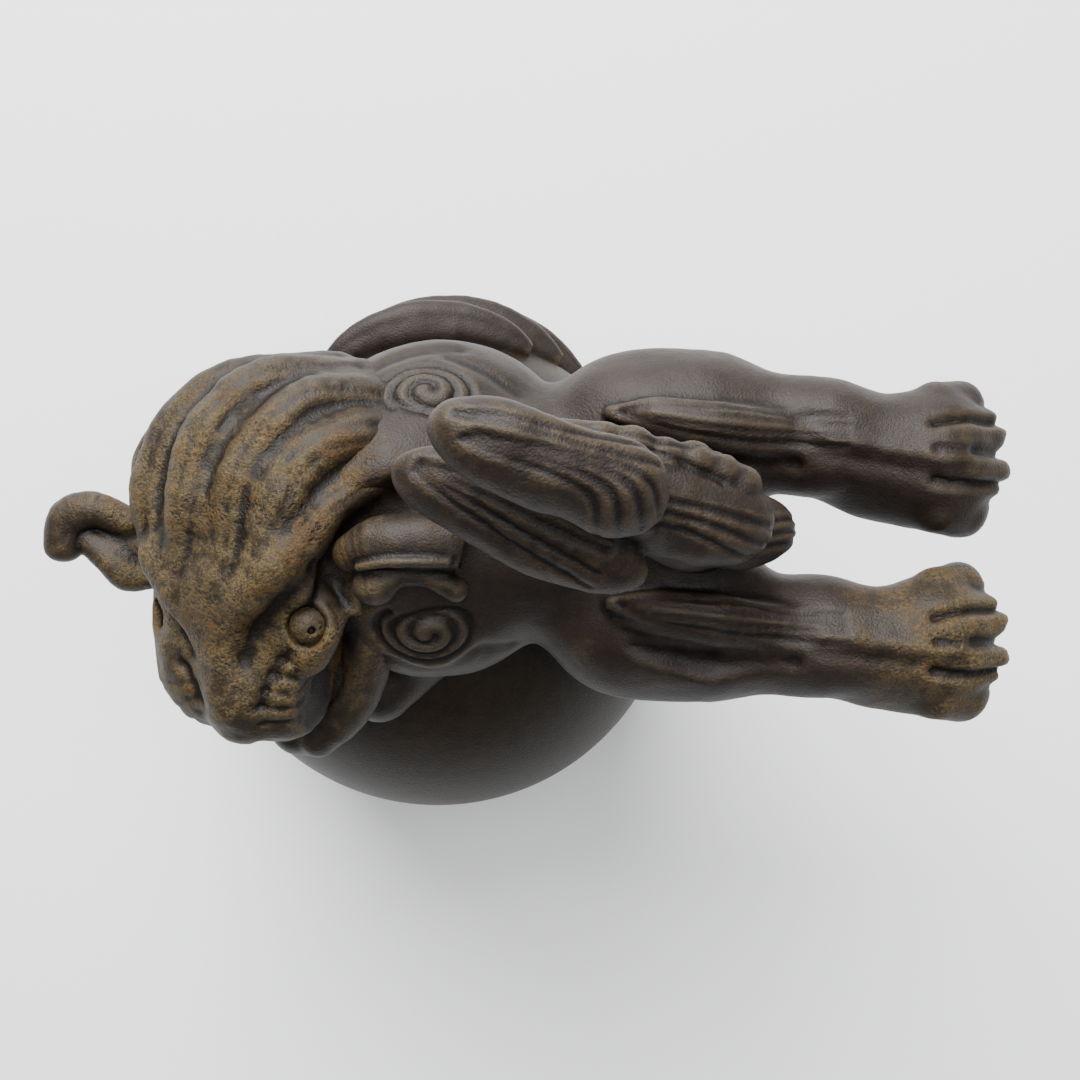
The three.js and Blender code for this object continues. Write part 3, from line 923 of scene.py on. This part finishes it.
# a row of small scallops along the far edge, and three more along the near edge
FAR_EDGE = [(-4.4, 2.7, 3.5), (0, 2.4, 3.2), (4, 1, 2.2), (8.3, 0.3, 1), (12, -1, -0.4), (15, -2.4, -1.6)]
NEAR_EDGE = [(5, -3.6, -3), (10, -4, -3.4), (15, -3.2, -3.8)]
for place in off(middle_of("tail_lock_right"), *FAR_EDGE):
    tail.add("tail_lock_right", lump(place, (3.4, 2.7, 2.6), (1, -0.3, -0.3)), 0.7)
for place in off(middle_of("tail_lock_left"), *NEAR_EDGE):
    tail.add("tail_lock_left", lump(place, (3.2, 2.4, 2.2), (1, -0.2, -0.2)), 0.7)

# %% Flutes of the tail

cuts = []


def comb(node, start, bend, end, shift_by, count, depth=0.38, width=0.55):
    """A row of curved grooves, each one step on from the last, laid on the surface of the tail."""
    centre = middle_of(node)
    for i in range(count):
        shift = np.array(shift_by) * i
        path = [centre + start + 0.25 * shift, centre + bend + 0.8 * shift, centre + end + shift]
        fine = smooth_path(path, 9)
        cuts.append((settle(tail, fine, 0)[0], depth, width))


comb("tail_lock_top", (-11, 2, 7), (4, -4, 4), (6, -10, -2), (2.6, 1.0, 0.4), 4)
comb("tail_lock_top", (-12, 5, 7), (0, 2.2, 6), (12, -1.5, 1), (0, 1.6, 0), 2)
comb("tail_lock_left", (-14, 7, 5), (-2, -1, 3), (10, -7.5, -1), (1.0, 2.0, 0.6), 4)
comb("tail_lock_middle", (-12, 4, 6), (2, -1.5, 5), (12, -5, -2), (1.0, 2.3, 0.5), 3)
comb("tail_lock_right", (-10, 4, 6), (2, 1.4, 5), (12, -1.5, 0), (0.4, 1.8, -0.4), 2)
comb("tail_lock_low", (-6, -3, 4), (4, -2.6, 3), (13, -1.8, -3), (0, 2.2, 0), 3)
work("tail", tail, cuts, {}, "body_clay", ((6, 0.4), (2, 0.1)))

# %% [markdown]
# ## A strip of clay, drawn out along a path
#
# A ribbon fold is a strip of clay, thick in the middle and thin at both ends, pressed on along a path. One
# Geometry Nodes tree draws it out. It sweeps a flattened, fluted circle along the path, and a scale that
# swells and dies away turns the sweep into a strip with soft ends.

# %% The tree that draws out a strip


def calc(tree, operation, *values):
    """A Math node. Each value is a number or the output of another node."""
    made = tree.nodes.new("ShaderNodeMath")
    made.operation = operation
    for socket, value in zip(made.inputs, values):
        if isinstance(value, (int, float)):
            socket.default_value = value
        else:
            tree.links.new(value, socket)
    return made.outputs[0]


STRIP_SIZES = {
    "Width": 0.004,
    "Thickness": 0.003,
    "Flutes": 3.0,
    "Flute Depth": 0.2,
    "Root": 0.12,
    "Tip": 0.98,
    "Fullness": 0.55,
}


def make_strip_tree():
    tree = bpy.data.node_groups.new("Drawn strip", "GeometryNodeTree")
    tree.interface.new_socket("Path", in_out="INPUT", socket_type="NodeSocketGeometry")
    for label, value in STRIP_SIZES.items():
        tree.interface.new_socket(label, in_out="INPUT", socket_type="NodeSocketFloat").default_value = value
    tree.interface.new_socket("Clay", in_out="INPUT", socket_type="NodeSocketMaterial")
    tree.interface.new_socket("Strip", in_out="OUTPUT", socket_type="NodeSocketGeometry")
    node, link = tree.nodes.new, tree.links.new
    sizes = node("NodeGroupInput").outputs

    curve = node("GeometryNodeMeshToCurve")
    link(sizes["Path"], curve.inputs[0])
    bent = node("GeometryNodeCurveSplineType")
    bent.spline_type = "CATMULL_ROM"
    link(curve.outputs[0], bent.inputs[0])
    even = node("GeometryNodeResampleCurve")
    even.inputs["Count"].default_value = 56
    link(bent.outputs[0], even.inputs[0])
    facing = node("GeometryNodeInputNamedAttribute")
    facing.data_type = "FLOAT_VECTOR"
    facing.inputs["Name"].default_value = "face"
    turned = node("GeometryNodeSetCurveNormal")
    turned.mode = "FREE"
    link(even.outputs[0], turned.inputs["Curve"])
    link(facing.outputs[0], turned.inputs["Normal"])

    along = node("GeometryNodeSplineParameter").outputs["Factor"]
    span = calc(tree, "SUBTRACT", sizes["Tip"], sizes["Root"])
    place = calc(tree, "MULTIPLY_ADD", along, span, sizes["Root"])
    swell = calc(tree, "POWER", calc(tree, "SINE", calc(tree, "MULTIPLY", place, math.pi)), sizes["Fullness"])

    ring = node("GeometryNodeCurvePrimitiveCircle")
    ring.inputs["Resolution"].default_value = 64
    ring.inputs["Radius"].default_value = 1.0
    here = node("ShaderNodeSeparateXYZ")
    link(node("GeometryNodeInputPosition").outputs[0], here.inputs[0])
    beat = calc(tree, "MULTIPLY", calc(tree, "MULTIPLY", here.outputs["X"], sizes["Flutes"]), math.pi / 2)
    wave = calc(tree, "ABSOLUTE", calc(tree, "SINE", beat))
    sunk = calc(tree, "MULTIPLY", calc(tree, "SUBTRACT", 1.0, wave), sizes["Flute Depth"])
    left_over = calc(tree, "MULTIPLY", here.outputs["Y"], calc(tree, "SUBTRACT", 1.0, sunk))
    high = calc(tree, "MULTIPLY", left_over, sizes["Thickness"])
    fluted = node("ShaderNodeCombineXYZ")
    link(calc(tree, "MULTIPLY", here.outputs["X"], sizes["Width"]), fluted.inputs["X"])
    link(high, fluted.inputs["Y"])
    section = node("GeometryNodeSetPosition")
    link(ring.outputs[0], section.inputs[0])
    link(fluted.outputs[0], section.inputs["Position"])

    sweep = node("GeometryNodeCurveToMesh")
    sweep.inputs["Fill Caps"].default_value = True
    link(turned.outputs[0], sweep.inputs["Curve"])
    link(section.outputs[0], sweep.inputs["Profile Curve"])
    link(swell, sweep.inputs["Scale"])
    soft = node("GeometryNodeSetShadeSmooth")
    link(sweep.outputs[0], soft.inputs[0])
    real = node("GeometryNodeRealizeInstances")
    link(soft.outputs[0], real.inputs[0])
    dressed = node("GeometryNodeSetMaterial")
    link(real.outputs[0], dressed.inputs[0])
    link(sizes["Clay"], dressed.inputs["Material"])
    link(dressed.outputs[0], node("NodeGroupOutput").inputs[0])
    return tree


STRIP_TREE = make_strip_tree()
SOCKETS = {item.name: item.identifier for item in STRIP_TREE.interface.items_tree if item.in_out == "INPUT"}
print("the strip tree has", len(STRIP_TREE.nodes), "nodes")

# %% Drawing out one strip

STRIP_UNEVENNESS = 0.25


def draw_out(node, points, faces, slot, **sizes):
    """Sweeps a strip along points (mm). faces holds the way its flat side looks at each point."""
    path = bpy.data.meshes.new(node)
    steps = [(i, i + 1) for i in range(len(points) - 1)]
    path.from_pydata([tuple(p * MM) for p in points], steps, [])
    path.attributes.new("face", "FLOAT_VECTOR", "POINT").data.foreach_set("vector", np.ravel(faces))
    maker = bpy.data.objects.new(node + "_path", path)
    bpy.context.collection.objects.link(maker)
    modifier = maker.modifiers.new("Drawn strip", "NODES")
    modifier.node_group = STRIP_TREE
    for label, value in sizes.items():
        modifier[SOCKETS[label.replace("_", " ").title()]] = float(value)
    swept = bpy.data.meshes.new_from_object(maker.evaluated_get(bpy.context.evaluated_depsgraph_get()))
    maker.modifiers.clear()
    bpy.data.objects.remove(maker)
    for extra in ("face", "custom_normal"):
        if extra in swept.attributes:
            swept.attributes.remove(swept.attributes[extra])
    swept.name = node
    knead_mesh(swept, STRIP_UNEVENNESS, len(node) + len(points))
    piece = add_piece(node, swept)
    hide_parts(node)
    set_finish(piece, slot)
    measure(piece)


def knead_mesh(mesh, amount, seed):
    shell = bmesh.new()
    shell.from_mesh(mesh)
    bmesh.ops.recalc_face_normals(shell, faces=shell.faces)
    shell.normal_update()
    shift = Vector((seed * 3.7, seed * 1.3, 0))
    for v in shell.verts:
        soft = noise.noise(v.co / (5 * MM) + shift) + 0.4 * noise.noise(v.co / (1.8 * MM) + shift)
        v.co += v.normal * soft * amount * MM
    shell.to_mesh(mesh)
    shell.free()
    mesh.shade_smooth()


# %% [markdown]
# ## The ball
#
# The ball is two bowls pressed in a mould and luted at the rim, so it is hollow. A bowl is a solid of
# revolution: an outline turned about the upright axis.

# %% The two bowls

WALL = 6.0
BALL_HEIGHT = BALL_TOP - BALL_MIDDLE[2]


def turn_on_wheel(name, outline, count=160):
    """Turns a closed outline of (radius, height) about the axis. Points at radius 0 become poles."""
    rings, points, faces = [], [], []
    for radius, height in outline:
        if radius < 1e-6:
            rings.append([len(points)] * count)
            points.append((0, 0, height))
            continue
        rings.append(list(range(len(points), len(points) + count)))
        for i in range(count):
            a = 2 * math.pi * i / count
            points.append((radius * math.cos(a), radius * math.sin(a), height))
    for below, above in zip(rings, rings[1:] + rings[:1]):
        for i in range(count):
            j = (i + 1) % count
            ring = list(dict.fromkeys([below[i], below[j], above[j], above[i]]))
            if len(ring) > 2:
                faces.append(ring)
    mesh = bpy.data.meshes.new(name)
    mesh.from_pydata([tuple((np.array(p) + BALL_MIDDLE * (1, 1, 0)) * MM) for p in points], [], faces)
    mesh.validate()
    knead_mesh(mesh, 0.0, 0)
    return mesh


def arc(radius, height, start, end, count=28):
    turns = np.linspace(start, end, count)
    return [(max(radius * math.cos(a), 0.0), BALL_MIDDLE[2] + height * math.sin(a)) for a in turns]


QUARTER = math.pi / 2
upper = arc(BALL_RADIUS, BALL_HEIGHT, 0, QUARTER) + arc(BALL_RADIUS - WALL, BALL_HEIGHT - WALL, QUARTER, 0)
foot_turn = -math.asin(BALL_MIDDLE[2] / BALL_HEIGHT)
floor_turn = -math.asin((BALL_MIDDLE[2] - WALL) / (BALL_HEIGHT - WALL))
lower = [(0.0, WALL)] + arc(BALL_RADIUS - WALL, BALL_HEIGHT - WALL, floor_turn, 0)
lower += arc(BALL_RADIUS, BALL_HEIGHT, 0, foot_turn) + [(0.0, 0.0)]
for name, outline in (("ball_upper_bowl", upper), ("ball_lower_bowl", lower)):
    piece = add_piece(name, turn_on_wheel(name, outline))
    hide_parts(name)
    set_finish(piece, "ball_clay")
    measure(piece)

# %% [markdown]
# ## The ribbon
#
# A ribbon leaves from under the mane and lies over the far side of the ball in three soft folds.

# %% Ribbon folds

RIBBON = {
    "width": 8.2 * MM,
    "thickness": 4.2 * MM,
    "flutes": 3,
    "flute_depth": 0.12,
    "root": 0.03,
    "tip": 0.97,
    "fullness": 0.5,
}
for i in (1, 2, 3):
    node = f"ribbon_fold_{i}"
    low, high = corners_of(node)
    start = np.array([low[0] + 1, 0, high[2] - 3])
    end = np.array([high[0] - 1, 0, low[2] + 3])
    points, faces = [], []
    for t in np.linspace(0, 1, 7):
        p = toward(start, end, t)
        shrink = math.sqrt(max(1 - ((p[2] - BALL_MIDDLE[2]) / BALL_HEIGHT) ** 2, 0))
        p[1] = math.sqrt(max((BALL_RADIUS * shrink) ** 2 - p[0] ** 2, 0))
        way = unit((p - BALL_MIDDLE) / (BALL_RADIUS**2, BALL_RADIUS**2, BALL_HEIGHT**2))
        points.append(p + 0.2 * way)
        faces.append(way)
    draw_out(node, points, faces, "body_clay", **RIBBON)

# %% Marks on the turned and swept pieces

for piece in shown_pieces():
    mesh = piece.data
    if "ridge" in mesh.attributes:
        continue
    at = np.empty(len(mesh.vertices) * 3)
    mesh.vertices.foreach_get("co", at)
    normals = np.empty(len(mesh.vertices) * 3)
    mesh.vertices.foreach_get("normal", normals)
    ends = np.empty(len(mesh.edges) * 2, int)
    mesh.edges.foreach_get("vertices", ends)
    at, normals = at.reshape(-1, 3) / MM, normals.reshape(-1, 3)
    found = {"ridge": ridges(at, normals, *ends.reshape(-1, 2).T), "ash_and_shade": ash_and_mouth_shade(at)}
    for label, values in found.items():
        mesh.attributes.new(label, "FLOAT", "POINT").data.foreach_set("value", values)

# %% [markdown]
# ## Finishes
#
# The clay is a purple brown with a low sheen from the fire. Two node groups make what is on it. One is the
# clay itself: slow changes of tone, painted shade in the grooves and a painted highlight on the ridges. The
# other is the ash: yellow freckles that gather where the mesh's ash number is high and on faces that look up.

# %% A group for the clay and one for the ash


def shader_group(name, inputs, outputs):
    group = bpy.data.node_groups.new(name, "ShaderNodeTree")
    for label, kind, value in inputs:
        socket = group.interface.new_socket(label, in_out="INPUT", socket_type=kind)
        if value is not None:
            socket.default_value = value
    for label, kind in outputs:
        group.interface.new_socket(label, in_out="OUTPUT", socket_type=kind)
    return group, group.nodes.new("NodeGroupInput").outputs, group.nodes.new("NodeGroupOutput").inputs


def cloud(tree, where, scale, detail=3.0, rough=0.55):
    """A noise whose features are 1000 / scale millimetres across."""
    made = tree.nodes.new("ShaderNodeTexNoise")
    made.inputs["Scale"].default_value = scale
    made.inputs["Detail"].default_value = detail
    made.inputs["Roughness"].default_value = rough
    tree.links.new(where, made.inputs["Vector"])
    return made.outputs["Fac"]


def ramp(tree, value, low, high):
    """0 below low, 1 above high, and a soft step between."""
    made = tree.nodes.new("ShaderNodeMapRange")
    made.interpolation_type = "SMOOTHSTEP"
    for label, amount in (("Value", value), ("From Min", low), ("From Max", high)):
        if isinstance(amount, (int, float)):
            made.inputs[label].default_value = amount
        else:
            tree.links.new(amount, made.inputs[label])
    return made.outputs["Result"]


def fired_clay_group():
    VALUE, VECTOR = "NodeSocketFloat", "NodeSocketVector"
    inputs = [("Where", VECTOR, None), ("Ridge", VALUE, 0.0)]
    outputs = [(label, VALUE) for label in ("Tone", "Crease Shade", "Highlight", "Height")]
    group, give, take = shader_group("Fired clay", inputs, outputs)
    slow = cloud(group, give["Where"], 55, 3)
    quick = cloud(group, give["Where"], 420, 4, 0.65)
    grain = cloud(group, give["Where"], 2600, 2)
    fine = calc(group, "MULTIPLY_ADD", grain, 0.3, calc(group, "MULTIPLY", quick, 0.35))
    tone = calc(group, "MULTIPLY_ADD", slow, 0.35, fine)
    group.links.new(tone, take["Tone"])
    # the ridge number, roughened by noise, sets painted shade in the grooves and a painted highlight on the
    # ridges
    ragged = calc(group, "MULTIPLY_ADD", calc(group, "SUBTRACT", quick, 0.5), 0.5, give["Ridge"])
    group.links.new(ramp(group, calc(group, "MULTIPLY", ragged, -1.0), 0.0, 0.5), take["Crease Shade"])
    group.links.new(ramp(group, ragged, 0.3, 0.9), take["Highlight"])
    height = calc(group, "MULTIPLY_ADD", grain, 0.8, calc(group, "MULTIPLY", quick, 0.25))
    group.links.new(height, take["Height"])
    return group


def ash_group():
    VALUE, VECTOR = "NodeSocketFloat", "NodeSocketVector"
    inputs = [("Where", VECTOR, None), ("Ridge", VALUE, 0.0), ("Cover", VALUE, 0.5)]
    outputs = [(label, VALUE) for label in ("Bed", "Ash", "Rust", "Pits", "Height")]
    group, give, take = shader_group("Wood ash", inputs, outputs)
    up = group.nodes.new("ShaderNodeSeparateXYZ")
    group.links.new(group.nodes.new("ShaderNodeNewGeometry").outputs["Normal"], up.inputs[0])
    drift = cloud(group, give["Where"], 95, 4, 0.6)
    patch = cloud(group, give["Where"], 190, 4, 0.6)
    mottle = cloud(group, give["Where"], 520, 3, 0.6)
    fleck = cloud(group, give["Where"], 2100, 3, 0.7)
    caught = calc(group, "MULTIPLY_ADD", give["Ridge"], 0.2, drift)
    fall = calc(group, "MULTIPLY_ADD", up.outputs["Z"], 0.12, caught)
    reach = calc(group, "MULTIPLY_ADD", give["Cover"], 0.62, fall)
    bed = ramp(group, calc(group, "MULTIPLY_ADD", patch, 0.9, reach), 1.1, 1.95)
    group.links.new(bed, take["Bed"])
    grain = calc(group, "MULTIPLY_ADD", mottle, 0.45, calc(group, "MULTIPLY", fleck, 0.75))
    spots = ramp(group, calc(group, "MULTIPLY_ADD", bed, 0.13, grain), 0.58, 0.86)
    ash = calc(group, "MULTIPLY", spots, bed)
    group.links.new(ash, take["Ash"])
    hue = calc(group, "MULTIPLY_ADD", mottle, 0.4, calc(group, "MULTIPLY", drift, 0.6))
    group.links.new(ramp(group, hue, 0.47, 0.62), take["Rust"])
    # round pits, in crowds
    cells = group.nodes.new("ShaderNodeTexVoronoi")
    cells.inputs["Scale"].default_value = 1150
    group.links.new(give["Where"], cells.inputs["Vector"])
    hole = calc(group, "SUBTRACT", 1.0, ramp(group, cells.outputs["Distance"], 0.22, 0.46))
    crowd = ramp(group, cloud(group, give["Where"], 150, 3), 0.48, 0.6)
    pits = calc(group, "MULTIPLY", calc(group, "MULTIPLY", hole, crowd), bed)
    group.links.new(pits, take["Pits"])
    group.links.new(calc(group, "SUBTRACT", calc(group, "MULTIPLY", ash, 0.8), pits), take["Height"])
    return group


CLAY_GROUP = fired_clay_group()
ASH_GROUP = ash_group()

# %% The four finishes


def blend(tree, amount, first, second):
    made = tree.nodes.new("ShaderNodeMix")
    made.data_type = "RGBA"
    for socket, value in ((made.inputs["Factor"], amount), (made.inputs[6], first), (made.inputs[7], second)):
        if isinstance(value, tuple):
            socket.default_value = (*value, 1)
        else:
            tree.links.new(value, socket)
    return made.outputs[2]


# near black, painted as shade into the corner of the mouth
MOUTH_SHADE = (0.0040, 0.0022, 0.0022)


def stoneware(name, dark, light, ridge_highlight, ash, rust, roughness):
    """dark and light are the tones of the clay, the colour after them is a painted highlight on its ridges,
    ash and rust colour its freckles.
    """
    material = bpy.data.materials.new(name)
    material.use_nodes = True
    tree = material.node_tree
    shader = tree.nodes["Principled BSDF"]
    shader.inputs["Specular IOR Level"].default_value = 0.24
    where = tree.nodes.new("ShaderNodeTexCoord").outputs["Object"]
    clay = tree.nodes.new("ShaderNodeGroup")
    clay.node_tree = CLAY_GROUP
    freckles = tree.nodes.new("ShaderNodeGroup")
    freckles.node_tree = ASH_GROUP
    ridge = tree.nodes.new("ShaderNodeAttribute")
    ridge.attribute_name = "ridge"
    ash_and_shade = tree.nodes.new("ShaderNodeAttribute")
    ash_and_shade.attribute_name = "ash_and_shade"
    tree.links.new(ash_and_shade.outputs["Fac"], freckles.inputs["Cover"])
    for group in (clay, freckles):
        tree.links.new(where, group.inputs["Where"])
        tree.links.new(ridge.outputs["Fac"], group.inputs["Ridge"])
    tint = blend(tree, ramp(tree, clay.outputs["Tone"], 0.36, 0.64), dark, light)
    # painted highlight along the ridges
    tint = blend(tree, calc(tree, "MULTIPLY", clay.outputs["Highlight"], 0.5), tint, ridge_highlight)
    ground = tuple(0.22 * a + 0.12 * r for a, r in zip(ash, rust))
    tint = blend(tree, calc(tree, "MULTIPLY", freckles.outputs["Bed"], 0.6), tint, ground)
    tint = blend(tree, freckles.outputs["Ash"], tint, blend(tree, freckles.outputs["Rust"], ash, rust))
    # a darker tone: painted shade in the grooves, and the dark colour of the pits in the ash
    deep = tuple(0.35 * c for c in dark)
    tint = blend(tree, calc(tree, "MULTIPLY", clay.outputs["Crease Shade"], 0.85), tint, deep)
    tint = blend(tree, calc(tree, "MULTIPLY", freckles.outputs["Pits"], 0.6), tint, deep)
    # painted shade in the corner of the mouth, where the ash number is below zero
    shade = ramp(tree, calc(tree, "MULTIPLY", ash_and_shade.outputs["Fac"], -1.0), 0.1, 0.8)
    tint = blend(tree, calc(tree, "MULTIPLY", shade, 0.8), tint, MOUTH_SHADE)
    tree.links.new(tint, shader.inputs["Base Color"])
    dull = calc(tree, "MULTIPLY_ADD", freckles.outputs["Ash"], 0.1, roughness)
    tree.links.new(calc(tree, "MULTIPLY_ADD", clay.outputs["Tone"], 0.1, dull), shader.inputs["Roughness"])
    bump = tree.nodes.new("ShaderNodeBump")
    bump.inputs["Strength"].default_value = 0.6
    bump.inputs["Distance"].default_value = 0.00026
    height = calc(tree, "ADD", clay.outputs["Height"], freckles.outputs["Height"])
    tree.links.new(height, bump.inputs["Height"])
    tree.links.new(bump.outputs[0], shader.inputs["Normal"])
    return material


BROWN = (0.0205, 0.0138, 0.0102)
# the colour of the painted highlight on the ridges
RIDGE_HIGHLIGHT = (0.048, 0.035, 0.021)
ASH = (0.104, 0.074, 0.029)
RUST = (0.066, 0.034, 0.009)
DULL = (0.020, 0.013, 0.010)
# the third colour of each finish is its painted ridge highlight
FINISHES = {
    "body_clay": stoneware(
        "purple_brown_clay", (0.0120, 0.0078, 0.0058), BROWN, RIDGE_HIGHLIGHT, ASH, RUST, 0.47
    ),
    "ash_clay": stoneware(
        "ash_clay", (0.0115, 0.0075, 0.0050), (0.0205, 0.0138, 0.0090), RIDGE_HIGHLIGHT, ASH, RUST, 0.47
    ),
    "ball_clay": stoneware(
        "ball_clay", (0.0048, 0.0027, 0.0011), (0.0165, 0.0095, 0.0034),
        (0.030, 0.021, 0.012), (0.030, 0.020, 0.009), (0.020, 0.011, 0.004), 0.46,
    ),
    "mouth_clay": stoneware(
        "mouth_clay", (0.0060, 0.0025, 0.0032), (0.0110, 0.0050, 0.0060),
        (0.015, 0.009, 0.009), DULL, DULL, 0.5,
    ),
}
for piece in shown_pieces():
    piece.data.materials.clear()
    piece.data.materials.append(FINISHES[piece["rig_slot"]])

# %% [markdown]
# ## Floor, light and camera
#
# A pale floor and soft light from a large window show the form by long, quiet shadows. The camera looks
# straight down on the figure from arm's length.

# %% Stage

floor_mesh = bpy.data.meshes.new("floor")
REACH = 3.0
floor_corners = [(x * REACH, y * REACH, 0) for x, y in ((-1, -1), (1, -1), (1, 1), (-1, 1))]
floor_mesh.from_pydata(floor_corners, [], [(0, 1, 2, 3)])
floor = bpy.data.objects.new("floor", floor_mesh)
bpy.context.collection.objects.link(floor)
paper = bpy.data.materials.new("paper")
paper.use_nodes = True
paper.node_tree.nodes["Principled BSDF"].inputs["Base Color"].default_value = (0.90, 0.91, 0.91, 1)
paper.node_tree.nodes["Principled BSDF"].inputs["Roughness"].default_value = 0.9
floor_mesh.materials.append(paper)
floor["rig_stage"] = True


def softbox(name, at, aim, size, power):
    lamp = bpy.data.lights.new(name, "AREA")
    lamp.shape = "DISK"
    lamp.size = size
    lamp.energy = power
    holder = bpy.data.objects.new(name, lamp)
    bpy.context.collection.objects.link(holder)
    holder.location = at
    holder.rotation_euler = (Vector(aim) - Vector(at)).to_track_quat("-Z", "Y").to_euler()


softbox("window", (-0.15, 0.75, 0.75), (0.01, 0, 0.05), 0.8, 36)
softbox("ceiling", (0.2, 0.15, 1.15), (0.02, 0, 0.05), 1.0, 13.5)
world = bpy.data.worlds.new("room")
bpy.context.scene.world = world
world.use_nodes = True
world.node_tree.nodes["Background"].inputs["Color"].default_value = (0.93, 0.96, 1.0, 1)
world.node_tree.nodes["Background"].inputs["Strength"].default_value = 0.15

# %% Camera

CAMERA_AT = ((BALL_MIDDLE[0] + 22) * MM, (BALL_MIDDLE[1] + 6.4) * MM, 0.288)
lens = bpy.data.cameras.new("camera")
lens.lens = 36.9
lens.sensor_width = 36
lens.clip_start = 0.01
camera = bpy.data.objects.new("camera", lens)
bpy.context.collection.objects.link(camera)
camera.location = CAMERA_AT
bpy.context.scene.camera = camera

# %% Compare the sizes and finish

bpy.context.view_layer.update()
for label, box in (("cad", CAD_BOX), ("visual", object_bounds())):
    print(label, [[round(v / MM, 1) for v in corner] for corner in box])
